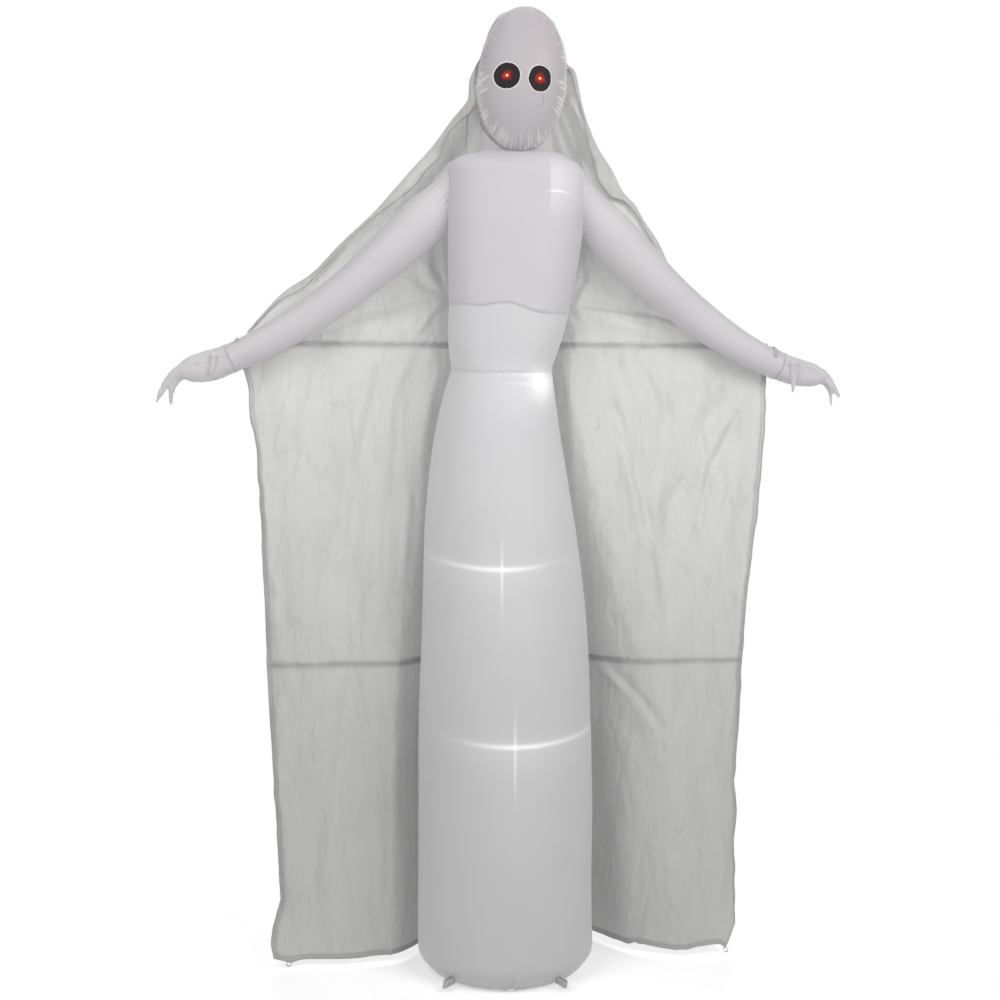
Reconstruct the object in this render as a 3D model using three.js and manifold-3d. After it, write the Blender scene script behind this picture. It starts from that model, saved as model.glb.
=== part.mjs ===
// A 12 ft inflatable ghost yard decoration: a fan-blown fabric body with a chest, neck, pillow head,
// two drooping arms with mitten hands, and a long hooded cape that hangs from the head and the arms.
// Millimetres. X is to the right seen from the front, Y to the back, Z up.
// The origin is the middle of the base panel, on the floor.
import * as THREE from "three";
import { mergeVertices } from "three/addons/utils/BufferGeometryUtils.js";
import Module from "manifold-3d";

const wasm = await Module();
wasm.setup();

// General
const skinWall = 3; // fabric skin with its coating and seam allowance
const gap = 0.3; // between pieces that touch
const bodySides = 24;
const roundSides = 18;
const smallSides = 10;

// Body column
const columnHeight = 2283;
const baseRadius = 331;
const baseCorner = 96; // rounding of the foot
const baseSeamTurn = 20; // of the skin under the foot, outside the base panel
const waistRadius = 190;
const taperPower = 3.7;
const hipSway = 30; // the blown body leans a little to the left here
const hipSwayHeight = 2000;
const hipSwayReach = 460;

// Waist band, chest and neck
const waistBandHeight = 236;
const chestHeight = 491; // from the chest seam to where the shoulders round over
const chestHalfWidthLow = 225;
const chestHalfWidth = 262;
const chestHalfDepth = 188;
const chestSquareness = 2.5;
const shoulderRise = 88;
const shoulderPower = 2.5;
const shoulderTilt = 16; // the left shoulder stands this much higher and the right one lower
const shoulderShift = 45; // the chest and head stand this far to the right of the foot
const neckHalfWidth = 138;
const neckHalfDepth = 92;
const neckBack = 10;
const neckHeight = 190;
const neckTaper = 12;
const neckSeam = 12; // of the chest's top around the neck

// Head
const headHalfWidth = 166;
const headUpper = 281; // from the widest level up to the crown
const headLower = 257; // from the widest level down to the chin
const headHalfDepth = 165;
const headLift = 247; // widest level above the neck seat
const headAside = 15; // to the right of the neck
const headForward = 60;
const headRoll = 4.5;
const headYaw = 4;
const headSquareness = 2.05;
const gussetHalf = 55;

// Eyes
const eyeRadius = 49;
const eyeLift = -6; // above the widest level
const eyeLeftX = -64;
const eyeRightX = 57;
const eyeThick = 1.6;
const lampRadius = 8;
const lampLength = 26;
const lampNoseRadius = 3.4;
const lampNoseProud = 2.4;

// Arms, each in its own upright plane that turns about the shoulder
const armReachLeft = 820;
const armReachRight = 780;
const armYawLeft = 4; // forward
const armYawRight = -12; // backward
const armDropLeft = 636;
const armDropRight = 606;
const armElbowOutLeft = 375;
const armElbowOutRight = 400;
const armElbowDropLeft = 441;
const armElbowDropRight = 462;
const armRootPinch = 34;
const armPinchReach = 0.09; // share of the arm's length
const armUpperRadius = 104;
const armWristRadius = 54;
const armTaperPower = 1.3;
const armholeDropLeft = 58; // of the arm's middle below the shoulder's rounding
const armholeDropRight = 104;
const armholeDepth = 60; // of the arm's end inside the chest before it is trimmed
const armSides = 14;
const armSteps = 7;

// Hands, drawn from the wrist outward and upward
const palmLength = 198;
const palmHalfHeight = 62;
const palmHalfDepth = 46;
const palmSwellShare = 0.35; // of its length, where it reaches its full size
const palmEndDraw = 0.95; // how far its end closes
const fingerRadius = 29;
const fingerTipRadius = 8;
const fingerRoots = [[166, -34], [172, -44]];
const fingerTips = [[268, -158], [222, -164]];
const thumbRadius = 17;
const thumbTipRadius = 7;
const thumbRoot = [54, 2];
const thumbTipLeft = [66, -64];
const thumbTipRight = [52, -100];

// Cape
const capeWall = 3;
const hemHeight = 30;
const lowerTierHeight = 1120;
const middleTierHeight = 1230;
const capeHemLeft = 862; // half widths from the origin
const capeHemRight = 905;
const capeFlareLeft = 110;
const capeFlareRight = 119;
const capeFlarePower = 1.8;
const armClearance = 9;
const bodyClearanceLow = 115; // behind the foot, where the fan needs air
const bodyClearanceHigh = 34; // behind the chest
const spreadLeft = 120;
const spreadRight = 330;
const spreadHigh = 60;
const wrapStart = 0.58; // share of the body's half width that the cape passes straight behind
const cornerForward = 60; // of the hem's front corners
const hoodTop = 3650;
const hoodSideHeight = 3300;
const hoodClearance = 15;
const hoodCrownShare = 0.97; // of the crown's rounding that the hood's top leans over
const hoodSlackLeft = 30;
const hoodSlackRight = 64;
const hoodEdgeForward = 55;
const capeEdgeSag = 52;
const capeLandsLeft = 0.93; // share of the arm's length where the free top edge lands on it
const capeLandsRight = 0.42;
const capeColumns = 28;
const upperRows = 8;
const middleRows = 4;
const lowerRows = 4;
const foldDepth = 26;
const foldPitch = 268;
const foldSlant = 0.11;
const foldAtShoulder = 0.35; // share of the folds' depth that is left up there
const edgeOverArm = 1.2; // height of the free top edge above the arm's middle, in arm radii
const edgeLeastRun = 0.05; // shortest share of the arm that the free top edge lies along
const capeReach = 60; // of the solid that trims tabs at the cape
const seamBandHeight = 28;
const seamBandThick = 2;
const seamBandGap = 0.9;

// Webbing loops, tabs and straps
const webWidth = 25;
const webThick = 2.2;
const baseLoopAngle = 39; // from straight ahead
const baseLoopReach = 44;
const baseLoopGap = 14;
const baseLoopHeight = 34;
const cornerLoopRadius = 10;
const cornerLoopInset = 42;
const wristTabShare = 0.9; // of the arm's length
const wristTabHeight = 34;
const wristTabLift = 20;
const strapPlace = 0.94; // of the chest's half width
const hoodTackHeight = 46;
const hoodTackWidth = 90;

// Lamps inside the body
const podRadius = 15;
const podBase = 12;
const podDome = 18;
const strapWidth = 20;
const strapThick = 2;
const strapBack = 18;
const leadRadius = 2.2;
const leadStandOff = 9; // behind the strap
const leadCurve = 3; // segments to each half turn around it
const lampLeadSteps = 44;
const eyeLeadSteps = 14;
const podPlaces = [[38, 840], [-19, 1514], [133, 2230], [228, 2940]];

// Weight bags on the base panel
const bagHalf = [60, 104, 30];
const bagApart = 78;
const bagForward = 38;

// Fan in the back of the foot, its axis along Y
const fanHeight = 205;
const sleeveRadius = 100;
const sleeveWall = 4;
const sleeveDepth = 62;
const sleeveStandOff = 22;
const clampWall = 2;
const clampWidth = 10;
const clampStandOff = 6;
const ductWall = 3;
const ductDepth = 94;
const flangeLip = 22;
const flangeThick = 4;
const motorRadius = 27;
const motorLength = 40;
const motorInset = 4;
const cupLip = 6;
const shaftRadius = 3;
const shaftEnd = 2;
const bushWall = 2;
const bushLength = 6;
const runningGap = 0.35;
const hubRadius = 30;
const hubDepth = 24;
const hubClearance = 8;
const bladeCount = 7;
const bladeChord = 36;
const bladeThick = 2.2;
const bladeTipGap = 4.5;
const bladePitch = 38;
const strutWidth = 8;
const strutDepth = 12;
const strutCount = 4;
const grilleThick = 4;
const grilleRings = 2;
const grilleSpokes = 4;
const grilleBar = 4;
const screwCount = 3;
const screwRadius = 2.2;
const screwHeadRadius = 4.6;
const screwHeadHeight = 2.8;
const screwLength = 11;
const bossWall = 3;
const glandRadius = 5;
const glandBore = 3;
const glandHeadRadius = 8;
const glandHeadLength = 9;

// Zip in the back of the body, above the fan
const zipBottom = 402;
const zipLength = 440;
const zipTapeWidth = 30;
const zipTapeThick = 2;
const zipTeethWidth = 6;
const zipTeethHeight = 2.5;
const zipStopLength = 6;
const zipStopHeight = 4;
const sliderLength = 22;
const sliderWidth = 14;
const sliderPlate = 2;
const sliderGap = 0.4;
const earThick = 2;
const pullLength = 34;
const pullWidth = 8;
const pullPlate = 1.8;
const pullBarRadius = 1.3;
const pullEyeWall = 1.3;

// Places that follow from the sizes
const waistSeam = columnHeight;
const chestSeam = waistSeam + waistBandHeight;
const shoulderHeight = chestSeam + chestHeight;
const neckSeat = shoulderHeight + shoulderRise;
const lowerSeam = hemHeight + lowerTierHeight;
const upperSeam = lowerSeam + middleTierHeight;
const DEGREE = Math.PI / 180;
const overcut = 12; // of a cutting solid past the wall it opens

// Materials
const cloth = (color) => new THREE.MeshStandardMaterial({ color, roughness: 0.82, metalness: 0 });
const materials = {
  skin: cloth(0xd8d6d9),
  face: cloth(0xc4bfc4),
  cape: cloth(0xd2cfd2),
  band: cloth(0xb4b0b4),
  web: cloth(0xc9c6c4),
  black: cloth(0x131214),
  bag: cloth(0x8a867e),
  plastic: new THREE.MeshStandardMaterial({ color: 0x1d1e20, roughness: 0.5, metalness: 0 }),
  lens: new THREE.MeshStandardMaterial({ color: 0xfff3d6, roughness: 0.25, metalness: 0 }),
  rubber: new THREE.MeshStandardMaterial({ color: 0xe6e3df, roughness: 0.7, metalness: 0 }),
  steel: new THREE.MeshStandardMaterial({ color: 0xa9abad, roughness: 0.35, metalness: 1 }),
  brass: new THREE.MeshStandardMaterial({ color: 0xb39148, roughness: 0.4, metalness: 1 }),
};

// Small mathematics
const mix = (a, b, t) => a + (b - a) * t;
const clamp = (t) => Math.min(1, Math.max(0, t));
const ease = (t) => clamp(t) * clamp(t) * (3 - 2 * clamp(t));
const slowing = (t) => 1 - (1 - t) * (1 - t);
const vector = (x, y, z) => new THREE.Vector3(x, y, z);
const steps = (low, high, count) => Array.from({ length: count + 1 }, (_, i) => mix(low, high, i / count));

// A point of a rounded square, from round (power 2) to square
function rounded(angle, halfA, halfB, power) {
  const bend = (value) => Math.sign(value) * Math.abs(value) ** (2 / power);
  return [halfA * bend(Math.cos(angle)), halfB * bend(Math.sin(angle))];
}

// A closed geometry from points and faces, turned so that its faces point out
function closedGeometry(points, faces) {
  const volume = faces.reduce((sum, [a, b, c]) => {
    const cross = points[b].clone().cross(points[c]);
    return sum + points[a].dot(cross);
  }, 0);
  const index = volume < 0 ? faces.map(([a, b, c]) => [a, c, b]) : faces;
  const geometry = new THREE.BufferGeometry().setFromPoints(points);
  geometry.setIndex(index.flat());
  return geometry;
}

// A closed solid through rings of as many points each
function loft(rings) {
  const sides = rings[0].length;
  const points = rings.flat();
  const faces = [];
  for (let ring = 0; ring + 1 < rings.length; ring += 1) {
    for (let side = 0; side < sides; side += 1) {
      const a = ring * sides + side;
      const b = ring * sides + ((side + 1) % sides);
      faces.push([a, b, b + sides], [a, b + sides, a + sides]);
    }
  }
  for (const ring of [0, rings.length - 1]) {
    const middle = rings[ring].reduce((sum, point) => sum.add(point), vector(0, 0, 0)).divideScalar(sides);
    const centre = points.push(middle) - 1;
    for (let side = 0; side < sides; side += 1) {
      const a = ring * sides + side;
      const b = ring * sides + ((side + 1) % sides);
      faces.push(ring === 0 ? [b, a, centre] : [a, b, centre]);
    }
  }
  return closedGeometry(points, faces);
}

// A closed slab between two grids of points
function slab(front, back) {
  const rows = front.length;
  const columns = front[0].length;
  const points = [...front.flat(), ...back.flat()];
  const half = rows * columns;
  const at = (row, column) => row * columns + column;
  const faces = [];
  for (let row = 0; row + 1 < rows; row += 1) {
    for (let column = 0; column + 1 < columns; column += 1) {
      const [a, b] = [at(row, column), at(row, column + 1)];
      const [c, d] = [at(row + 1, column + 1), at(row + 1, column)];
      faces.push([a, b, c], [a, c, d]);
      faces.push([a + half, c + half, b + half], [a + half, d + half, c + half]);
    }
  }
  const close = (a, b) => faces.push([b, a, a + half], [b, a + half, b + half]);
  for (let column = 0; column + 1 < columns; column += 1) {
    close(at(0, column), at(0, column + 1));
    close(at(rows - 1, column + 1), at(rows - 1, column));
  }
  for (let row = 0; row + 1 < rows; row += 1) {
    close(at(row, columns - 1), at(row + 1, columns - 1));
    close(at(row + 1, 0), at(row, 0));
  }
  return closedGeometry(points, faces);
}

// Joining and cutting
function solid(geometry) {
  const bare = new THREE.BufferGeometry();
  bare.setAttribute("position", geometry.getAttribute("position"));
  bare.setIndex(geometry.getIndex());
  const merged = mergeVertices(bare, 1e-4);
  const triVerts = new Uint32Array(merged.getIndex().array);
  const vertProperties = new Float32Array(merged.getAttribute("position").array);
  return new wasm.Manifold(new wasm.Mesh({ numProp: 3, vertProperties, triVerts }));
}

function geometryOf(piece) {
  const { vertProperties, triVerts } = piece.getMesh();
  const geometry = new THREE.BufferGeometry();
  geometry.setAttribute("position", new THREE.BufferAttribute(vertProperties, 3));
  geometry.setIndex(new THREE.BufferAttribute(triVerts, 1));
  return geometry;
}

const moved = (geometry, x, y, z) => geometry.clone().translate(x, y, z);
const box = (width, depth, height) => new THREE.BoxGeometry(width, depth, height);

// A profile turned about the Y axis, whichever way round its points are given
function turned(profile, sides = roundSides) {
  const points = profile.map(([radius, y]) => new THREE.Vector2(radius, y));
  const area = THREE.ShapeUtils.area(points);
  return new THREE.LatheGeometry(area < 0 ? points.reverse() : points, sides);
}

function tube(inner, outer, low, high, sides = roundSides) {
  return turned([[inner, low], [outer, low], [outer, high], [inner, high], [inner, low]], sides);
}

function disc(radius, low, high, sides = roundSides) {
  return turned([[0, low], [radius, low], [radius, high], [0, high]], sides);
}

const model = new THREE.Group();

function add(name, shape, material, parent = model) {
  const geometry = shape.isBufferGeometry ? shape : geometryOf(shape);
  const flat = geometry.index ? geometry.toNonIndexed() : geometry;
  flat.computeVertexNormals();
  const mesh = new THREE.Mesh(flat, material);
  mesh.name = name;
  parent.add(mesh);
  return mesh;
}

// The blown body's middle line and outline at a height
function bodyShift(z) {
  const lean = shoulderShift * ease((z - hipSwayHeight) / (shoulderHeight - hipSwayHeight));
  return lean - hipSway * Math.exp(-(((z - hipSwayHeight) / hipSwayReach) ** 2));
}

function bodyHalves(z) {
  if (z <= waistSeam) {
    const taper = (baseRadius - waistRadius) * Math.max(z / waistSeam, 0) ** taperPower;
    const turn = z < baseCorner ? baseCorner - Math.sqrt(baseCorner ** 2 - (baseCorner - z) ** 2) : 0;
    return [baseRadius - taper - turn, baseRadius - taper - turn, 2];
  }
  if (z <= chestSeam) {
    const t = slowing((z - waistSeam) / waistBandHeight);
    const power = mix(2, chestSquareness, t);
    return [mix(waistRadius, chestHalfWidthLow, t), mix(waistRadius, chestHalfDepth, t), power];
  }
  if (z <= shoulderHeight) {
    const t = slowing((z - chestSeam) / chestHeight);
    return [mix(chestHalfWidthLow, chestHalfWidth, t), chestHalfDepth, chestSquareness];
  }
  const t = 1 - clamp((z - shoulderHeight) / shoulderRise) ** shoulderPower;
  const topWidth = neckHalfWidth + neckSeam;
  const topDepth = neckHalfDepth + neckSeam;
  return [mix(topWidth, chestHalfWidth, t), mix(topDepth, chestHalfDepth, t), chestSquareness];
}

// Height that the tilt of the shoulders adds outside the neck's seat
function shoulderLift(x, z) {
  const seat = neckHalfWidth + neckSeam;
  const outer = clamp((Math.abs(x) - seat) / (chestHalfWidth - seat));
  return -Math.sign(x) * shoulderTilt * outer * ease((z - chestSeam) / chestHeight);
}

function bodyRing(z, grow) {
  const [halfX, halfY, power] = bodyHalves(z);
  const shoulder = clamp((z - shoulderHeight) / shoulderRise);
  const foot = clamp(1 - z / baseCorner);
  return steps(0, 2 * Math.PI, bodySides).slice(0, bodySides).map((angle) => {
    const [x, y] = rounded(angle, halfX + grow, halfY + grow, power);
    const level = z + shoulderLift(x, z) + grow * (shoulder - foot);
    return vector(x + bodyShift(z), y + neckBack * shoulder, level);
  });
}

const bodySolid = (levels, grow) => solid(loft(levels.map((z) => bodyRing(z, grow))));
const footLevels = [0, 0.07, 0.29, 0.62].map((share) => share * baseCorner);
const columnLevels = [baseCorner, 0.28 * waistSeam, ...steps(0.5 * waistSeam, waistSeam, 5)];
const waistLevels = steps(waistSeam, chestSeam, 3);
const chestLevels = steps(chestSeam, shoulderHeight, 4);
const shoulderLevels = [0.45, 0.75, 0.92, 1].map((share) => shoulderHeight + share * shoulderRise);
const columnOuter = bodySolid([...footLevels, ...columnLevels.slice(0, -1), waistSeam - gap / 2], 0);
const torsoLevels = [...chestLevels, ...shoulderLevels];
const chestOuter = bodySolid([chestSeam + gap / 2, ...torsoLevels.slice(1)], 0);

// Everything inside the skins, from the foot to the neck seat
const allLevels = [...footLevels, ...columnLevels, ...waistLevels.slice(1), ...torsoLevels.slice(1)];
const bodyInner = bodySolid(allLevels, -skinWall);
const bodyClear = bodySolid(allLevels, gap);
const bodyRoom = bodySolid(allLevels, -skinWall - gap);

// Head: rings along its depth, tipped and turned in its own frame
const neckX = bodyShift(neckSeat);
const headFrame = new THREE.Matrix4()
  .makeTranslation(neckX + headAside, -headForward, neckSeat + headLift)
  .multiply(new THREE.Matrix4().makeRotationZ(headYaw * DEGREE))
  .multiply(new THREE.Matrix4().makeRotationY(headRoll * DEGREE));

function headRing(depth, grow) {
  const past = clamp((Math.abs(depth) - gussetHalf) / (headHalfDepth - gussetHalf));
  const share = Math.max(Math.sqrt(1 - past * past), 0.02);
  const along = depth + grow * past * Math.sign(depth);
  return steps(0, 2 * Math.PI, bodySides).slice(0, bodySides).map((angle) => {
    const upright = Math.sin(angle) > 0 ? headUpper : headLower;
    const [x, z] = rounded(angle, headHalfWidth * share + grow, upright * share + grow, headSquareness);
    return vector(x, along, z);
  });
}

function headSolid(depths, grow) {
  return solid(loft(depths.map((depth) => headRing(depth, grow))).applyMatrix4(headFrame));
}

const domeShares = [0, 0.45, 0.75, 0.92, 1];
const domeDepths = domeShares.map((share) => mix(gussetHalf, headHalfDepth, share));
const frontDepths = domeDepths.map((depth) => -depth).reverse();
const headDepths = [...frontDepths, 0, ...domeDepths];
const headInner = headSolid(headDepths, -skinWall).subtract(bodySolid(allLevels, gap + skinWall));
const headRoom = headSolid(headDepths, -skinWall - gap);
const headClear = headSolid(headDepths, gap);

// Neck
function neckRing(share, grow) {
  return steps(0, 2 * Math.PI, roundSides).slice(0, roundSides).map((angle) => {
    const halfX = neckHalfWidth - neckTaper * share + grow;
    const halfY = neckHalfDepth - neckTaper * share + grow;
    const [x, y] = rounded(angle, halfX, halfY, 2);
    return vector(x + neckX, y + neckBack, neckSeat + gap + neckHeight * share);
  });
}

const neckPass = overcut / neckHeight;
const neckOuter = solid(loft([0, 0.5, 1].map((share) => neckRing(share, 0))));
const neckInner = solid(loft([-neckPass, 0.5, 1 + neckPass].map((share) => neckRing(share, -skinWall))));

// Arms
const sides = {
  left: {
    sign: -1,
    reach: armReachLeft,
    yaw: armYawLeft,
    rootDrop: armholeDropLeft,
    elbowOut: armElbowOutLeft,
    elbowDrop: armElbowDropLeft,
    drop: armDropLeft,
    thumbTip: thumbTipLeft,
    lands: capeLandsLeft,
  },
  right: {
    sign: 1,
    reach: armReachRight,
    yaw: armYawRight,
    rootDrop: armholeDropRight,
    elbowOut: armElbowOutRight,
    elbowDrop: armElbowDropRight,
    drop: armDropRight,
    thumbTip: thumbTipRight,
    lands: capeLandsRight,
  },
};

function armFullRadius(t) {
  return armWristRadius + (armUpperRadius - armWristRadius) * clamp(1 - t) ** armTaperPower;
}

function armRadius(t) {
  return armFullRadius(t) - armRootPinch * Math.exp(-((Math.max(t, 0) / armPinchReach) ** 2));
}

const armRootX = (side) => bodyShift(shoulderHeight) + side.sign * chestHalfWidth;
const armOut = (side, t) => 2 * (1 - t) * t * side.elbowOut + t * t * side.reach;
const armFall = (side, t) => 2 * (1 - t) * t * side.elbowDrop + t * t * side.drop;
const armHeight = (side, t) => shoulderHeight - side.rootDrop - armFall(side, t);

// Place and directions of an arm's middle line
function armFrame(side, t) {
  const heading = side.yaw * DEGREE;
  const outward = vector(side.sign * Math.cos(heading), -Math.sin(heading), 0);
  const tiny = 1e-3;
  const centre = vector(armRootX(side), 0, armHeight(side, t)).addScaledVector(outward, armOut(side, t));
  const rise = armHeight(side, t + tiny) - armHeight(side, t);
  const run = armOut(side, t + tiny) - armOut(side, t);
  const along = outward.clone().multiplyScalar(run).add(vector(0, 0, rise)).normalize();
  const across = vector(0, 0, 1).cross(outward).normalize();
  const up = along.clone().cross(across).multiplyScalar(-1);
  if (up.z < 0) up.negate();
  return { centre, along, across, up, outward };
}

function armSolid(side, grow, start, end) {
  const rings = steps(start, end, armSteps).map((t) => {
    const { centre, across, up } = armFrame(side, t);
    return steps(0, 2 * Math.PI, armSides).slice(0, armSides).map((angle) => {
      const radius = armRadius(t) + grow;
      const point = centre.clone().addScaledVector(across, radius * Math.cos(angle));
      return point.addScaledVector(up, radius * Math.sin(angle));
    });
  });
  return solid(loft(rings));
}

const armStart = (side) => -armholeDepth / (2 * side.elbowOut);
const armPast = overcut / armReachLeft;

// Hands: a point of the wrist's plane from distances outward and upward
function handPoint(side, [out, rise], front = 0) {
  const wrist = armFrame(side, 1);
  const point = wrist.centre.clone().addScaledVector(wrist.outward, out);
  return point.add(vector(0, -front, rise));
}

function palmRing(side, share, grow) {
  const wrist = armFrame(side, 1);
  const slope = wrist.along.z / Math.hypot(wrist.along.x, wrist.along.y);
  const out = share * palmLength;
  const level = Math.max(out, 0) / palmLength;
  const along = wrist.outward.clone().add(vector(0, 0, slope * (1 - level))).normalize();
  const up = wrist.across.clone().cross(along);
  const centre = wrist.centre.clone().addScaledVector(wrist.along, gap);
  centre.addScaledVector(wrist.outward, out).add(vector(0, 0, slope * (out - (out * level) / 2)));
  const swell = ease(share / palmSwellShare);
  const close = Math.sqrt(1 - palmEndDraw * Math.max(share, 0) ** 3);
  const halfHeight = mix(armWristRadius, palmHalfHeight, swell) * close + grow;
  const halfDepth = mix(armWristRadius, palmHalfDepth, swell) * close + grow;
  return steps(0, 2 * Math.PI, armSides).slice(0, armSides).map((angle) => {
    const point = centre.clone().addScaledVector(wrist.across, halfDepth * Math.cos(angle));
    return point.addScaledVector(up, halfHeight * Math.sin(angle));
  });
}

// A tapering finger with round ends between two points
function finger(from, to, rootRadius, tipRadius, sidesAround) {
  const axis = to.clone().sub(from);
  const length = axis.length();
  const profile = [[0, -rootRadius]];
  profile.push([0.7 * rootRadius, -0.7 * rootRadius], [rootRadius, 0], [tipRadius, length]);
  profile.push([0.7 * tipRadius, length + 0.7 * tipRadius], [0, length + tipRadius]);
  const geometry = turned(profile, sidesAround);
  geometry.applyQuaternion(new THREE.Quaternion().setFromUnitVectors(vector(0, 1, 0), axis.normalize()));
  return solid(geometry.translate(from.x, from.y, from.z));
}

function handSolid(side, grow, start) {
  const shares = [start, 0.2, 0.45, 0.7, 0.88, 1];
  let hand = solid(loft(shares.map((share) => palmRing(side, share, grow))));
  fingerRoots.forEach((root, i) => {
    const from = handPoint(side, root);
    const to = handPoint(side, fingerTips[i]);
    hand = hand.add(finger(from, to, fingerRadius + grow, fingerTipRadius + grow, smallSides));
  });
  return hand;
}

// Cape: its distance to the back over every place seen from the front
function backOfBody(z) {
  const [halfX, halfY] = bodyHalves(Math.min(Math.max(z, baseCorner), shoulderHeight));
  const low = clamp(1 - z / chestSeam);
  const hood = ease((z - neckSeat) / (hoodSideHeight - neckSeat));
  const bodyBack = halfY + mix(bodyClearanceHigh, bodyClearanceLow, low);
  const crown = hoodCrownShare * clamp((z - neckSeat - headLift) / headUpper);
  const headBack = mix(gussetHalf, headHalfDepth, Math.sqrt(1 - crown * crown)) - headForward;
  return {
    low,
    hood,
    middle: mix(bodyShift(z), neckX + headAside, hood),
    half: mix(halfX, headHalfWidth, hood),
    back: mix(bodyBack, headBack + hoodClearance, hood),
  };
}

function capeY(x, z) {
  const { low, hood, middle, half, back } = backOfBody(z);
  const side = x < middle ? sides.left : sides.right;
  const spreadLow = x < middle ? spreadLeft : spreadRight;
  const slack = x < middle ? hoodSlackLeft : hoodSlackRight;
  const spread = mix(mix(spreadHigh, spreadLow, low), slack, hood);
  const away = Math.abs(x - middle);
  const behind = 1 - ease((away - wrapStart * half) / (half + spread - wrapStart * half));
  const out = Math.max(side.sign * (x - armRootX(side)), 0);
  const share = Math.min(out / (side.reach * Math.cos(side.yaw * DEGREE)), 1);
  const armMiddle = -out * Math.tan(side.yaw * DEGREE);
  const cornerLean = cornerForward * clamp(1 - z / upperSeam) * (x / capeHemRight) ** 2;
  const armBack = armFullRadius(share) + armClearance;
  const onArm = armMiddle + mix(armBack, armWristRadius + armClearance, ease(low)) - cornerLean;
  const flank = mix(onArm, Math.min(hoodEdgeForward, back), hood);
  const wave = 0.5 + 0.5 * Math.sin((2 * Math.PI * (x + foldSlant * z)) / foldPitch);
  const fall = ease((shoulderHeight - z) / (shoulderHeight - lowerSeam));
  return mix(flank, back, behind) + foldDepth * wave * mix(foldAtShoulder, 1, fall) * (1 - hood);
}

function capePoint(x, z, off) {
  const near = 2;
  const slopeX = (capeY(x + near, z) - capeY(x - near, z)) / (2 * near);
  const slopeZ = (capeY(x, z + near) - capeY(x, z - near)) / (2 * near);
  const normal = vector(-slopeX, 1, -slopeZ).normalize();
  return vector(x, capeY(x, z), z).addScaledVector(normal, off);
}

function capeEdge(side, z) {
  const hem = side === sides.left ? capeHemLeft : capeHemRight;
  const flare = side === sides.left ? capeFlareLeft : capeFlareRight;
  return side.sign * (hem + flare * (z / upperSeam) ** capeFlarePower);
}

// The cape's top outline, from its left corner over the head to its right corner
function capeSideOutline(side) {
  const points = [];
  const corner = Math.abs(capeEdge(side, upperSeam) - armRootX(side));
  const reach = side.reach * Math.cos(side.yaw * DEGREE);
  const onArm = (share) => {
    const lift = armRadius(share) * edgeOverArm;
    return new THREE.Vector2(armRootX(side) + side.sign * share * reach, armHeight(side, share) + lift);
  };
  if (corner / reach - side.lands > edgeLeastRun) {
    for (const share of steps(corner / reach, side.lands, 3).slice(0, -1)) points.push(onArm(share));
  }
  const landing = onArm(side.lands);
  const slack = side === sides.left ? hoodSlackLeft : hoodSlackRight;
  const hoodX = neckX + headAside + side.sign * (headHalfWidth + slack);
  const hoodSide = new THREE.Vector2(hoodX, hoodSideHeight);
  for (const share of steps(0, 1, 4)) {
    const point = landing.clone().lerp(hoodSide, share);
    point.y -= capeEdgeSag * Math.sin(Math.PI * share);
    points.push(point);
  }
  for (const angle of [25, 50, 72]) {
    const halfWidth = side.sign * (headHalfWidth + slack);
    const x = neckX + headAside + halfWidth * Math.cos(angle * DEGREE);
    points.push(new THREE.Vector2(x, mix(hoodSideHeight, hoodTop, Math.sin(angle * DEGREE))));
  }
  return points;
}

const capeTop = new THREE.SplineCurve([
  ...capeSideOutline(sides.left),
  new THREE.Vector2(neckX + headAside, hoodTop),
  ...capeSideOutline(sides.right).reverse(),
]);

function capeLevel(column, z) {
  return mix(capeEdge(sides.left, z), capeEdge(sides.right, z), column / capeColumns);
}

// Rows close to each seam keep the tiers flush with the bands behind them
function capeRow(z) {
  return steps(0, capeColumns, capeColumns).map((column) => [capeLevel(column, z), z]);
}

function capeUpperGrid() {
  const bottom = upperSeam + gap / 2;
  const above = upperSeam + seamBandHeight / 2;
  const rows = steps(0, 1, upperRows).map((share) => capeRow(above).map(([x, z], column) => {
    const top = capeTop.getPointAt(column / capeColumns);
    return [mix(top.x, x, share), mix(top.y, z, share)];
  }));
  return [...rows, capeRow(bottom)];
}

function capeTierGrid(high, low, rows) {
  const inner = steps(high - seamBandHeight / 2, low + seamBandHeight / 2, rows);
  return [high, ...inner, low].map(capeRow);
}

function capeSlab(grid, near, far) {
  const layer = (off) => grid.map((row) => row.map(([x, z]) => capePoint(x, z, off)));
  return slab(layer(near), layer(far));
}

const upperGrid = capeUpperGrid();
const middleGrid = capeTierGrid(upperSeam - gap / 2, lowerSeam + gap / 2, middleRows);
const lowerGrid = capeTierGrid(lowerSeam - gap / 2, hemHeight, lowerRows);
const capeCut = solid(capeSlab([...upperGrid, ...middleGrid], -gap, capeReach));

function addCape() {
  add("cape_upper", capeSlab(upperGrid, 0, capeWall), materials.cape);
  add("cape_middle", capeSlab(middleGrid, 0, capeWall), materials.cape);
  add("cape_lower", capeSlab(lowerGrid, 0, capeWall), materials.cape);
  const near = capeWall + seamBandGap;
  [["cape_upper_seam_band", upperSeam], ["cape_lower_seam_band", lowerSeam]].forEach(([name, z]) => {
    const grid = [z + seamBandHeight / 2, z, z - seamBandHeight / 2].map(capeRow);
    add(name, capeSlab(grid, near, near + seamBandThick), materials.band);
  });
}

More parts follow.
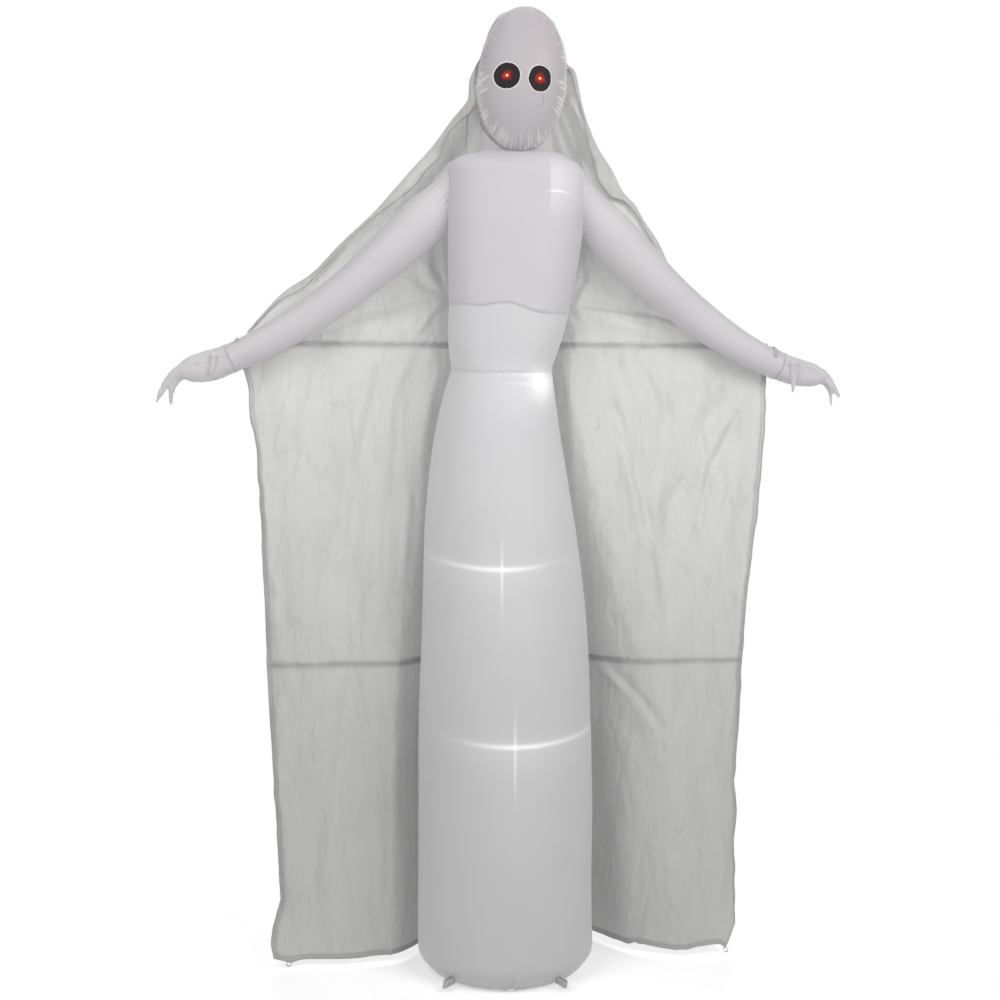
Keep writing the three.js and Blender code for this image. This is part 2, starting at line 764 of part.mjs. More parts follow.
// Body skins
function addBody() {
  const fanCut = solid(moved(disc(sleeveRadius + gap, 0, baseRadius * 2), 0, 0, fanHeight));
  const panelRadius = baseRadius - baseCorner - baseSeamTurn;
  const upright = (geometry) => geometry.rotateX(Math.PI / 2);
  const panelCut = solid(upright(disc(panelRadius + gap, -overcut, overcut, bodySides)));
  const panel = upright(disc(panelRadius, 0, skinWall, bodySides));
  add("base_panel", panel, materials.bag);
  add("lower_body", columnOuter.subtract(bodyInner).subtract(panelCut).subtract(fanCut), materials.skin);
  const bandLevels = [waistSeam + gap / 2, ...waistLevels.slice(1, -1), chestSeam - gap / 2];
  add("waist_band", bodySolid(bandLevels, 0).subtract(bodyInner), materials.skin);
  let chest = chestOuter.subtract(bodyInner).subtract(neckInner);
  for (const side of Object.values(sides)) {
    chest = chest.subtract(armSolid(side, -skinWall, armStart(side), 1));
  }
  add("chest", chest, materials.skin);
  add("neck", neckOuter.subtract(neckInner).subtract(headClear), materials.skin);
}

function addHead() {
  const seated = (depths) => headSolid(depths, 0).subtract(bodyClear);
  const shell = (depths) => seated(depths).subtract(headInner).subtract(neckInner);
  const half = gussetHalf - gap / 2;
  const eyes = { left: eyeLeftX, right: eyeRightX };
  const eyeCylinder = (x, radius) => {
    const geometry = disc(radius, -headHalfDepth * 2, 0, roundSides);
    return solid(geometry.translate(x, 0, eyeLift).applyMatrix4(headFrame));
  };
  const front = [...frontDepths.slice(0, -1), -gussetHalf - gap / 2];
  let face = shell(front);
  for (const x of Object.values(eyes)) {
    face = face.subtract(eyeCylinder(x, lampNoseRadius + gap));
  }
  add("face_panel", face, materials.face);
  add("head_gusset", shell([-half, 0, half]), materials.face);
  add("head_back", shell([gussetHalf + gap / 2, ...domeDepths.slice(1)]), materials.face);
  const outside = headSolid(headDepths, gap + eyeThick);
  const nose = headSolid(headDepths, gap + eyeThick + lampNoseProud);
  for (const [name, x] of Object.entries(eyes)) {
    const patch = eyeCylinder(x, eyeRadius).intersect(outside).subtract(headClear);
    add(`${name}_eye`, patch.subtract(eyeCylinder(x, lampNoseRadius + gap)), materials.black);
    const holderGeometry = disc(lampRadius, -headHalfDepth * 2, lampBackDepth(x), smallSides);
    const holder = solid(holderGeometry.translate(x, 0, eyeLift).applyMatrix4(headFrame));
    const lamp = holder.intersect(headRoom).add(lampNose(x).intersect(nose));
    add(`${name}_eye_lamp`, lamp, materials.lens);
  }
}

// Depth of a lamp holder's back face in the head's frame
function lampBackDepth(x) {
  const past = Math.sqrt(1 - (x / headHalfWidth) ** 2);
  return -mix(gussetHalf, headHalfDepth, past) + lampLength;
}

function lampNose(x) {
  const geometry = disc(lampNoseRadius, -headHalfDepth * 2, lampBackDepth(x) - 1, smallSides);
  return solid(geometry.translate(x, 0, eyeLift).applyMatrix4(headFrame));
}

function addArms() {
  for (const [name, side] of Object.entries(sides)) {
    const outer = armSolid(side, 0, armStart(side), 1);
    const inner = armSolid(side, -skinWall, armStart(side) - armPast, 1 + armPast);
    add(`${name}_arm`, outer.subtract(inner).subtract(bodyClear), materials.skin);
    const hand = handSolid(side, 0, 0);
    const start = -overcut / palmLength;
    add(`${name}_hand`, hand.subtract(handSolid(side, -skinWall, start)), materials.skin);
    const from = handPoint(side, thumbRoot, palmHalfDepth);
    const to = handPoint(side, side.thumbTip, palmHalfDepth);
    const thumb = finger(from, to, thumbRadius, thumbTipRadius, smallSides);
    add(`${name}_thumb`, thumb.subtract(handSolid(side, gap, 0)), materials.skin);
  }
}

// A block from a depth to just behind the cape's face, to be trimmed by what it joins
function tabBlock(x, y, z, width, height) {
  const depth = capeY(x, z) + capeReach / 2 - y;
  return solid(moved(box(width, depth, height), x, y + depth / 2, z)).subtract(capeCut);
}

// Tabs that hold the cape at the wrists, the head and the chest seam
function addTabs() {
  for (const [name, side] of Object.entries(sides)) {
    const { centre } = armFrame(side, wristTabShare);
    const tab = tabBlock(centre.x, centre.y, centre.z + wristTabLift, webWidth, wristTabHeight);
    add(`${name}_wrist_tab`, tab.subtract(armSolid(side, gap, armStart(side), 1)), materials.web);
    const x = bodyShift(chestSeam) + side.sign * bodyHalves(chestSeam)[0] * strapPlace;
    const strap = tabBlock(x, 0, chestSeam + webWidth, webThick, webWidth);
    add(`${name}_cape_strap`, strap.subtract(bodyClear), materials.web);
  }
  const tack = tabBlock(neckX + headAside, 0, neckSeat + headLift, hoodTackWidth, hoodTackHeight);
  add("hood_tack", tack.subtract(headClear), materials.web);
}

// A webbing loop around an upright hole, drawn from its middle outward along X
function webLoop(reach, halfGap, thick, height) {
  const outline = new THREE.Shape();
  outline.moveTo(-reach, -halfGap - thick);
  outline.lineTo(0, -halfGap - thick);
  outline.absarc(0, 0, halfGap + thick, -Math.PI / 2, Math.PI / 2, false);
  outline.lineTo(-reach, halfGap + thick);
  outline.lineTo(-reach, halfGap);
  outline.lineTo(0, halfGap);
  outline.absarc(0, 0, halfGap, Math.PI / 2, -Math.PI / 2, true);
  outline.lineTo(-reach, -halfGap);
  outline.closePath();
  const options = { depth: height, bevelEnabled: false, curveSegments: 4 };
  return new THREE.ExtrudeGeometry(outline, options).translate(0, 0, -height / 2);
}

function addLoops() {
  const halfGap = baseLoopGap / 2;
  const [radius] = bodyHalves(baseLoopHeight);
  const reach = baseLoopReach + baseCorner / 2;
  const angles = [-90 - baseLoopAngle, -90 + baseLoopAngle, 90 - baseLoopAngle, 90 + baseLoopAngle];
  angles.forEach((angle, i) => {
    const geometry = webLoop(reach, halfGap, webThick, webWidth);
    geometry.translate(radius + baseLoopReach - halfGap, 0, baseLoopHeight);
    const loop = solid(geometry.rotateZ(angle * DEGREE));
    add(`base_loop_${i + 1}`, loop.subtract(bodyClear), materials.web);
  });
  for (const [name, side] of Object.entries(sides)) {
    const x = capeEdge(side, hemHeight) - side.sign * cornerLoopInset;
    const ring = tube(cornerLoopRadius - webThick, cornerLoopRadius, -webWidth / 4, webWidth / 4, smallSides);
    const y = capeY(x, hemHeight) + capeWall / 2;
    const z = hemHeight - gap - cornerLoopRadius;
    add(`${name}_corner_loop`, moved(ring, x, y, z), materials.web);
  }
}

// Lamps on a strap inside the body, their lead, and the eye lamps' lead
function strapPoints() {
  const [topX] = podPlaces[podPlaces.length - 1];
  return [[0, 0], [0, 3 * bagHalf[2]], ...podPlaces, [topX - strapWidth, neckSeat]];
}

function addLamps() {
  const points = strapPoints();
  const rows = points.map(([x, z], i) => {
    const [beforeX, beforeZ] = points[Math.max(i - 1, 0)];
    const [afterX, afterZ] = points[Math.min(i + 1, points.length - 1)];
    const way = vector(afterX - beforeX, 0, afterZ - beforeZ).normalize();
    const across = vector(way.z, 0, -way.x).multiplyScalar(strapWidth / 2);
    const middle = vector(x, strapBack, z);
    return [middle.clone().sub(across), middle.clone().add(across)];
  });
  const shift = (grid, y) => grid.map((row) => row.map((point) => point.clone().add(vector(0, y, 0))));
  const strap = solid(slab(rows, shift(rows, strapThick)));
  const floorCut = solid(moved(box(baseRadius, baseRadius, skinWall + gap), 0, 0, (skinWall + gap) / 2));
  add("light_strap", strap.intersect(bodyRoom).subtract(floorCut), materials.web);
  podPlaces.forEach(([x, z], i) => {
    const base = strapBack - gap;
    const profile = [[0, base], [podRadius, base], [podRadius, base - podBase]];
    for (const angle of [30, 60]) {
      const radius = podRadius * Math.cos(angle * DEGREE);
      profile.push([radius, base - podBase - podDome * Math.sin(angle * DEGREE)]);
    }
    profile.push([0, base - podBase - podDome]);
    add(`lamp_${i + 1}`, moved(turned(profile, smallSides), x, 0, z), materials.lens);
  });
  const behind = strapBack + strapThick + leadStandOff + leadRadius;
  const fanEnd = ductFront() - gap;
  const rim = fanHeight + motorRadius;
  const route = [
    vector(0, fanEnd, rim),
    vector(0, fanEnd - motorRadius, rim),
    vector(0, fanEnd - 3 * motorRadius, rim + motorRadius),
    vector(0, behind + motorRadius, 2 * fanHeight),
    ...podPlaces.map(([x, z]) => vector(x, behind, z)),
    vector(neckX, behind, neckSeat),
    vector(neckX, 0, neckSeat + neckHeight),
  ];
  add("lamp_lead", lead(route, lampLeadSteps), materials.rubber);
  const ends = [eyeLeftX, eyeRightX].map((x) => (
    vector(x, lampBackDepth(x) + gap, eyeLift).applyMatrix4(headFrame)
  ));
  const drop = vector(0, 2 * lampLength, -2 * lampLength);
  const middle = ends[0].clone().add(ends[1]).multiplyScalar(0.5).add(drop);
  const out = vector(0, lampLength, 0);
  const eyeRoute = [ends[0], ends[0].clone().add(out), middle, ends[1].clone().add(out), ends[1]];
  add("eye_lead", lead(eyeRoute, eyeLeadSteps), materials.rubber);
}

function lead(points, count) {
  const round = new THREE.Shape().absarc(0, 0, leadRadius, 0, 2 * Math.PI);
  const extrudePath = new THREE.CatmullRomCurve3(points);
  const options = { steps: count, curveSegments: leadCurve, bevelEnabled: false, extrudePath };
  return solid(new THREE.ExtrudeGeometry(round, options));
}

// Two sand bags that weigh the foot down
function addBags() {
  const [halfX, halfY, halfZ] = bagHalf;
  const levels = [0, 0.12, 0.5, 0.88, 1];
  const floor = skinWall + gap;
  ["left", "right"].forEach((name, i) => {
    const rings = levels.map((share) => {
      const drawn = Math.sqrt(1 - 0.75 * (2 * share - 1) ** 4);
      return steps(0, 2 * Math.PI, roundSides).slice(0, roundSides).map((angle) => {
        const [x, y] = rounded(angle, halfX * drawn, halfY * drawn, 4);
        return vector(x + (i * 2 - 1) * bagApart, y - bagForward, floor + 2 * halfZ * share);
      });
    });
    add(`${name}_weight_bag`, loft(rings), materials.bag);
  });
}

// Fan, about an axis along Y
const fanWall = () => bodyHalves(fanHeight)[1];
const flangeFront = () => fanWall() + sleeveStandOff + gap;
const flangeBack = () => flangeFront() + flangeThick;
const ductFront = () => flangeBack() - ductDepth;
const ductRadius = sleeveRadius - sleeveWall - gap;
const flangeRadius = ductRadius + flangeLip;
const screwCircle = sleeveRadius + clampWall + screwRadius + bossWall + 2 * gap;

function anglesAround(count, turn) {
  return Array.from({ length: count }, (_, i) => (turn + (i * 360) / count) * DEGREE);
}

function screwPlaces() {
  const place = (angle) => [screwCircle * Math.cos(angle), screwCircle * Math.sin(angle)];
  return anglesAround(screwCount, 90).map(place);
}

const glandPlace = [0, -screwCircle];

function addFan() {
  const fan = new THREE.Group();
  fan.position.z = fanHeight;
  model.add(fan);
  const wall = fanWall();
  const sleeveEnd = wall + sleeveStandOff;
  const sleeve = tube(sleeveRadius - sleeveWall, sleeveRadius, sleeveEnd - sleeveDepth, sleeveEnd);
  add("fan_sleeve", sleeve, materials.bag, fan);
  const clampInner = sleeveRadius + gap;
  const clampLow = wall + clampStandOff;
  const clampBand = tube(clampInner, clampInner + clampWall, clampLow, clampLow + clampWidth);
  add("fan_clamp_band", clampBand, materials.steel, fan);

  const motorLow = ductFront() + motorInset;
  const motorHigh = motorLow + motorLength;
  const cupInner = motorRadius + gap;
  const cupOuter = cupInner + ductWall;
  const cup = turned([
    [cupInner - cupLip, ductFront()], [cupOuter, ductFront()], [cupOuter, motorHigh - bushLength],
    [cupInner, motorHigh - bushLength], [cupInner, motorLow - gap], [cupInner - cupLip, motorLow - gap],
    [cupInner - cupLip, ductFront()],
  ]);
  const duct = turned([
    [ductRadius - ductWall, ductFront()], [ductRadius, ductFront()], [ductRadius, flangeFront()],
    [flangeRadius, flangeFront()], [flangeRadius, flangeBack()], [ductRadius - ductWall, flangeBack()],
    [ductRadius - ductWall, ductFront()],
  ]);
  let housing = solid(duct).add(solid(cup));
  const strutLength = ductRadius - cupOuter;
  const strutMiddle = (ductRadius + cupOuter - ductWall) / 2;
  for (const angle of anglesAround(strutCount, 45)) {
    const strut = box(strutLength, strutDepth, strutWidth);
    strut.translate(strutMiddle, ductFront() + strutDepth / 2, 0);
    housing = housing.add(solid(strut.rotateY(-angle)));
  }
  const bossLength = screwLength - grilleThick - flangeThick + gap;
  for (const [x, z] of screwPlaces()) {
    const boss = disc(screwRadius + bossWall, flangeFront() - bossLength, flangeBack(), smallSides);
    housing = housing.add(solid(boss.translate(x, 0, z)));
  }
  const holes = (piece, radius, places) => places.reduce((cut, [x, z]) => (
    cut.subtract(solid(moved(disc(radius, wall, wall * 2, smallSides), x, 0, z)))
  ), piece);
  housing = holes(housing, screwRadius + gap, screwPlaces());
  housing = holes(housing, glandRadius + gap, [glandPlace]);
  add("fan_housing", housing, materials.plastic, fan);

  const grilleLow = flangeBack() + gap;
  const grilleHigh = grilleLow + grilleThick;
  const rimInner = ductRadius - ductWall - grilleBar;
  let grille = solid(tube(rimInner, flangeRadius, grilleLow, grilleHigh));
  for (let i = 0; i < grilleRings; i += 1) {
    const radius = ((i + 0.5) * rimInner) / grilleRings;
    grille = grille.add(solid(tube(radius, radius + grilleBar, grilleLow, grilleHigh, roundSides)));
  }
  for (const angle of anglesAround(grilleSpokes, 0)) {
    const length = rimInner + grilleBar / 2;
    const spoke = moved(box(length, grilleThick, grilleBar), length / 2, (grilleLow + grilleHigh) / 2, 0);
    grille = grille.add(solid(spoke.rotateY(-angle)));
  }
  grille = holes(grille, screwRadius + gap, screwPlaces());
  grille = holes(grille, glandRadius + gap, [glandPlace]);
  add("fan_grille", grille, materials.plastic, fan);

  screwPlaces().forEach(([x, z], i) => {
    const head = grilleHigh + gap;
    const screw = turned([
      [0, head - screwLength], [screwRadius, head - screwLength], [screwRadius, head],
      [screwHeadRadius, head], [screwHeadRadius, head + screwHeadHeight], [0, head + screwHeadHeight],
    ], smallSides);
    add(`grille_screw_${i + 1}`, moved(screw, x, 0, z), materials.steel, fan);
  });
  const glandSeat = grilleHigh + gap;
  const gland = turned([
    [glandBore, flangeFront() - gap], [glandRadius, flangeFront() - gap], [glandRadius, glandSeat],
    [glandHeadRadius, glandSeat], [glandBore + 1, glandSeat + glandHeadLength],
    [glandBore, glandSeat + glandHeadLength], [glandBore, flangeFront() - gap],
  ], smallSides);
  add("cord_gland", moved(gland, glandPlace[0], 0, glandPlace[1]), materials.plastic, fan);

  const bushOuter = shaftRadius + runningGap + bushWall;
  const bush = (low) => tube(shaftRadius + runningGap, bushOuter, low, low + bushLength);
  add("motor", tube(bushOuter + gap, motorRadius, motorLow, motorHigh), materials.steel, fan);
  add("front_bush", bush(motorLow), materials.brass, fan);
  add("rear_bush", bush(motorHigh - bushLength), materials.brass, fan);
  const hubLow = motorHigh + hubClearance;
  const hubHigh = hubLow + hubDepth;
  add("fan_shaft", disc(shaftRadius, motorLow - shaftEnd, hubHigh - shaftEnd), materials.steel, fan);
  let impeller = solid(tube(shaftRadius + gap, hubRadius, hubLow, hubHigh));
  const bladeTip = ductRadius - ductWall - bladeTipGap;
  const bladeRoot = (shaftRadius + hubRadius) / 2;
  for (const angle of anglesAround(bladeCount, 0)) {
    const blade = box(bladeTip - bladeRoot, bladeThick, bladeChord).rotateX(bladePitch * DEGREE);
    blade.translate((bladeTip + bladeRoot) / 2, (hubLow + hubHigh) / 2, 0);
    impeller = impeller.add(solid(blade.rotateY(-angle)));
  }
  const cylinder = solid(disc(bladeTip, hubLow - bladeChord, hubHigh + bladeChord));
  const bore = solid(disc(shaftRadius + gap, hubLow - bladeChord, hubHigh + bladeChord));
  add("impeller", impeller.intersect(cylinder).subtract(bore), materials.plastic, fan);
}

// Zip: a straight tape scribed to the body, with its slider closed at the top
function addZip() {
  const zipTop = zipBottom + zipLength;
  const tapeFace = bodyHalves(zipBottom)[1] + gap + zipTapeThick;
  const piece = (width, low, high, bottom, top) => {
    const depth = high - low;
    return solid(moved(box(width, depth, top - bottom), 0, (low + high) / 2, (bottom + top) / 2));
  };
  const deep = zipTapeWidth / 2;
  let tape = piece(zipTapeWidth, tapeFace - deep, tapeFace, zipBottom, zipTop).subtract(bodyClear);
  const teethFace = tapeFace + zipTeethHeight;
  tape = tape.add(piece(zipTeethWidth, tapeFace - gap, teethFace, zipBottom, zipTop));
  const stopFace = tapeFace + zipStopHeight;
  for (const z of [zipBottom, zipTop - zipStopLength]) {
    tape = tape.add(piece(2 * zipTeethWidth, tapeFace - gap, stopFace, z, z + zipStopLength));
  }
  add("zip_tape", tape, materials.web);

  const sliderTop = zipTop - zipStopLength - gap;
  const sliderLow = sliderTop - sliderLength;
  const plateLow = teethFace + sliderGap;
  const plateHigh = plateLow + sliderPlate;
  const channel = zipTeethWidth + 2 * sliderGap;
  let slider = piece(sliderWidth, tapeFace + sliderGap, plateHigh, sliderLow, sliderTop);
  slider = slider.subtract(piece(channel, tapeFace, plateLow, sliderLow - 1, sliderTop + 1));
  const pullEyeRadius = pullBarRadius + runningGap + pullEyeWall;
  const barY = plateHigh + pullEyeRadius + gap;
  const barZ = (sliderLow + sliderTop) / 2;
  const earHeight = 2 * (pullBarRadius + earThick / 2);
  const earX = sliderWidth / 2 - earThick / 2;
  for (const x of [-earX, earX]) {
    const ear = box(earThick, barY + pullBarRadius + 1 - plateHigh + gap, earHeight);
    slider = slider.add(solid(moved(ear, x, (barY + pullBarRadius + 1 + plateHigh - gap) / 2, barZ)));
  }
  const bar = disc(pullBarRadius, -sliderWidth / 2 + gap, sliderWidth / 2 - gap, smallSides);
  slider = slider.add(solid(bar.rotateZ(Math.PI / 2).translate(0, barY, barZ)));
  add("zip_slider", slider, materials.steel);

  const eyeLength = sliderWidth - 2 * earThick - 2 * runningGap;
  const eye = tube(pullBarRadius + runningGap, pullEyeRadius, -eyeLength / 2, eyeLength / 2, smallSides);
  let pull = solid(eye.rotateZ(Math.PI / 2).translate(0, barY, barZ));
  const plate = solid(moved(box(pullWidth, pullPlate, pullLength), 0, barY, barZ - pullLength / 2));
  const bore = disc(pullBarRadius + runningGap, -sliderWidth, sliderWidth, smallSides);
  pull = pull.add(plate).subtract(solid(bore.rotateZ(Math.PI / 2).translate(0, barY, barZ)));
  const hole = disc(pullWidth / 4, barY - pullWidth, barY + pullWidth, smallSides);
  pull = pull.subtract(solid(moved(hole, 0, 0, barZ - pullLength + pullWidth)));
  add("zip_pull", pull, materials.steel);
}

addBody();
addHead();
addArms();
addCape();
addTabs();
addLoops();
addLamps();
addBags();
addFan();
addZip();

export default model;
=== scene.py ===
"""A 12 ft inflatable ghost yard decoration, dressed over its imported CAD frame.

Sizes are millimetres until a mesh is made, in the frame's own directions: X to the right seen from
the front, Y to the back, Z up. The figure's outline repeats the CAD model's formulas.
"""
import math

import bpy
import numpy as np
from mathutils import Matrix, Vector


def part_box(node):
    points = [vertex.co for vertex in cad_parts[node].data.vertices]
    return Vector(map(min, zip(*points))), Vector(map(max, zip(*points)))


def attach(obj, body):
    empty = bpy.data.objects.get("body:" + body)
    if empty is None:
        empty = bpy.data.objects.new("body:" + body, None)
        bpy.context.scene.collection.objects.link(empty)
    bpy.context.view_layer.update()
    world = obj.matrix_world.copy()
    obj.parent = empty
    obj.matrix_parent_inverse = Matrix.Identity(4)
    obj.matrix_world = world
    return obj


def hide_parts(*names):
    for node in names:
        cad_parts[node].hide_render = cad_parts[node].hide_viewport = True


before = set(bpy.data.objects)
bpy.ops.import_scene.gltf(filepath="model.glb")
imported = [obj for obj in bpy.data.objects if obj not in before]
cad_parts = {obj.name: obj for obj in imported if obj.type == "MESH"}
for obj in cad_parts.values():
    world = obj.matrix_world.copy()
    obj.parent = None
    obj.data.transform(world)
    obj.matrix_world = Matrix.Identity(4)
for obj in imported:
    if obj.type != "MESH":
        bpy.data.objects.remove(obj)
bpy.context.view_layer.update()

MM = 0.001
BODY = "figure"

# Body column, waist band, chest and neck
WAIST, CHEST, SHOULDER, NECK_SEAT = 2283, 2519, 3010, 3098
BASE_RADIUS, BASE_CORNER, WAIST_RADIUS, TAPER = 331, 96, 190, 3.7
SWAY, SWAY_HEIGHT, SWAY_REACH, SHOULDER_SHIFT = 30, 2000, 460, 45
CHEST_LOW, CHEST_WIDE, CHEST_DEEP, CHEST_SQUARE = 225, 262, 188, 2.5
SHOULDER_POWER, SHOULDER_TILT, NECK_WIDE, NECK_DEEP, NECK_BACK, NECK_HEIGHT = 2.5, 16, 138, 92, 10, 190

# Head
HEAD_WIDE, HEAD_UP, HEAD_DOWN, HEAD_DEEP = 166, 281, 257, 165
HEAD_SQUARE, GUSSET = 2.05, 55
HEAD_PLACE, HEAD_ROLL, HEAD_YAW = (60, -60, 3345), 4.5, 4
EYES = {"left": -64, "right": 57}
EYE_RADIUS, EYE_LIFT = 49, -6

# Arms and hands. A finger is its middle line's places outward and upward from the wrist, with its radii
SIDES = {
    "left": {
        "sign": -1, "reach": 820, "yaw": 4, "hole": 58, "elbow": (375, 441), "drop": 636, "palm": 1.0,
        "fingers": [
            [(150, -34, 27), (194, -52, 24), (231, -87, 15.5), (255, -124, 11), (274, -164, 4)],
            [(150, -44, 27), (192, -62, 23), (213, -92, 16.5), (222, -130, 9.5), (223, -170, 6)],
        ],
        "thumb": [(54, 3, 16), (57, -20, 14), (63, -44, 9), (69, -65, 4)],
    },
    "right": {
        "sign": 1, "reach": 780, "yaw": -12, "hole": 104, "elbow": (400, 462), "drop": 606, "palm": 0.9,
        "fingers": [
            [(150, -26, 27), (189, -40, 24), (216, -70, 17), (236, -95, 11), (254, -117, 5)],
            [(146, -34, 27), (175, -44, 25), (202, -66, 14), (219, -100, 8.5), (222, -150, 5)],
        ],
        "thumb": [(54, 3, 23), (55, -28, 18), (54, -66, 11), (51, -103, 4)],
    },
}
ARM_UPPER, ARM_WRIST, ARM_TAPER, ARM_PINCH, PINCH_REACH = 104, 54, 1.3, 34, 0.09
PALM_LENGTH, PALM_HIGH, PALM_DEEP = 198, 62, 46

# Cape
LOWER_SEAM, UPPER_SEAM, HEM_RIGHT = 1150, 2380, 905
CLEAR_LOW, CLEAR_HIGH, ARM_CLEAR = 115, 34, 9
SPREAD = {"left": 120, "right": 330, "high": 60}
WRAP_START, CORNER_FORWARD = 0.58, 60
HOOD_SIDE, HOOD_CLEAR, HOOD_FORWARD, HOOD_CROWN = 3300, 15, 55, 0.97
SLACK = {"left": 30, "right": 64}
FOLD_DEPTH, FOLD_PITCH, FOLD_SLANT, FOLD_AT_SHOULDER = 26, 268, 0.11, 0.35
HEM_STITCH, FAR_FROM_STITCH = 20, 40.0
HEM_STEPS = np.array([22.0, 17.0, 11.0, 6.0, 2.5])

# Fan and zip at the back
FAN_HEIGHT, FAN_HOLE = 205, 101
ZIP_LOW, ZIP_LENGTH, TOOTH_PITCH = 402, 440, 2.4

# Sewing: where the stitches run beside a seam, and the length of seam for each radian around a form
SEAM_STITCH, HEAD_STITCH = 5, 4
BODY_ARC, NECK_ARC, HEAD_ARC, ARM_ARC, WRIST_ARC = 300, 120, 235, 90, 55
ARM_RUN = 1040
WRIST_TIE_AT, WRIST_TIE_CLEAR = 0.945, 5

# How finely the forms are divided
BODY_SIDES, HEAD_SIDES, ARM_SIDES, PALM_SIDES, FINGER_SIDES = 264, 480, 96, 28, 22
FINGER_STEPS, RIBBON_STEPS, FACING_STEPS = 16, 60, 150
FINGER_TIP = (1.42, 1.1, 0.75, 0.35)

# Cloth and light
THREAD_PITCH, STITCH_TONE = 0.0016, 0.35
LIT_CLOTH = (0.95, 0.945, 0.93, 1)
MOULDED_GRAIN = 0.0001
WORLD_LIGHT, FLOOR_LIFT = 0.2, 0.35


# Small mathematics on arrays
def clamp(t):
    return np.clip(t, 0.0, 1.0)


def ease(t):
    t = clamp(t)
    return t * t * (3 - 2 * t)


def mix(a, b, t):
    return a + (b - a) * t


def bell(distance, width):
    return np.exp(-((distance / width) ** 2))


def rounded(angle, half_a, half_b, power):
    """A point of a rounded square, from round (power 2) to square."""
    bend = 2 / power
    cos, sin = np.cos(angle), np.sin(angle)
    return (
        half_a * np.sign(cos) * np.abs(cos) ** bend,
        half_b * np.sign(sin) * np.abs(sin) ** bend,
    )


def unrest(u, v, cell_u, cell_v, seed):
    """Smooth random values from -1 to 1 over a plane, with cells of the given sizes."""
    lattice = np.random.RandomState(seed).uniform(-1, 1, (256, 256))
    a, b = np.asarray(u) / cell_u, np.asarray(v) / cell_v
    i, j = np.floor(a).astype(int), np.floor(b).astype(int)
    s, t = a - i, b - j
    s, t = s * s * s * (s * (6 * s - 15) + 10), t * t * t * (t * (6 * t - 15) + 10)
    low = mix(lattice[i % 256, j % 256], lattice[(i + 1) % 256, j % 256], s)
    high = mix(lattice[i % 256, (j + 1) % 256], lattice[(i + 1) % 256, (j + 1) % 256], s)
    return mix(low, high, t)


def spaced(low, high, pitch):
    return np.linspace(low, high, max(2, int(round(abs(high - low) / pitch)) + 1))


def stroke(x, z, path, width, off=0.0):
    """How near each place lies to a path of (x, z) points, from 0 to 1, fading at the path's ends. off
    moves the line to one side."""
    nearest = np.full(np.shape(x), 1e9)
    side, place = np.zeros(np.shape(x)), np.zeros(np.shape(x))
    lengths = [math.dist(a, b) for a, b in zip(path, path[1:])]
    run = 0.0
    for (ax, az), (bx, bz), length in zip(path, path[1:], lengths):
        ux, uz = (bx - ax) / length, (bz - az) / length
        along = np.clip((x - ax) * ux + (z - az) * uz, 0, length)
        dx, dz = x - ax - along * ux, z - az - along * uz
        away = np.hypot(dx, dz)
        closer = away < nearest
        nearest = np.where(closer, away, nearest)
        side = np.where(closer, np.sign(dx * uz - dz * ux), side)
        place = np.where(closer, (run + along) / sum(lengths), place)
        run += length
    fade = np.sin(math.pi * np.clip(place, 0.04, 0.96)) ** 0.6
    return fade * bell(nearest * np.where(side == 0, 1, side) - off, width)


def crease(x, z, path, width, depth):
    """Push to the back along a path: a soft valley with a lip, or a ridge where depth is negative."""
    return depth * (stroke(x, z, path, width) - 0.4 * stroke(x, z, path, width, 1.7 * width))


def gathers(arc, run, pitch, reach, seed):
    """Short folds square to a seam, from 0 between them to 1 on their crests. arc is the place along the
    seam and run the distance from it."""
    arc, run = np.broadcast_arrays(arc, run)
    flat = 0 * arc
    phase = (arc + 0.3 * pitch * unrest(arc, run, 3 * pitch, 40, seed)) / pitch
    phase = phase + 0.45 * unrest(arc, flat, 2.3 * pitch, 50, seed + 1)
    number = np.round(phase)
    strength = 0.62 + 0.38 * unrest(number, flat, 1, 1, seed + 2)
    length = reach * (0.62 + 0.38 * unrest(number, flat + 7, 1, 1, seed + 3))
    width = 0.2 + 0.12 * clamp(run / reach)
    return strength * bell(phase - number, width) * ease((length - run) / (0.6 * length)) * ease(run / 4)


def around(count):
    """As many angles, evenly once around."""
    return np.linspace(0, 2 * math.pi, count, endpoint=False)


def turned(angle, back=math.pi / 2):
    """The angle from the front, from -pi to pi, with its break at the back."""
    return np.mod(angle - back, 2 * math.pi) - math.pi


def raised(points, relief, out=-1):
    """The points of a closed grid, rows by columns, moved out by a relief. out is -1 where the grid's
    normals point inward."""
    down = np.gradient(points, axis=0)
    across = (np.roll(points, -1, 1) - np.roll(points, 1, 1)) / 2
    normal = np.cross(across, down)
    normal = normal / np.maximum(np.linalg.norm(normal, axis=2, keepdims=True), 1e-9)
    return points + normal * relief[..., None] * out


# The figure's formulas
def body_shift(z):
    lean = SHOULDER_SHIFT * ease((z - SWAY_HEIGHT) / (SHOULDER - SWAY_HEIGHT))
    return lean - SWAY * np.exp(-(((z - SWAY_HEIGHT) / SWAY_REACH) ** 2))


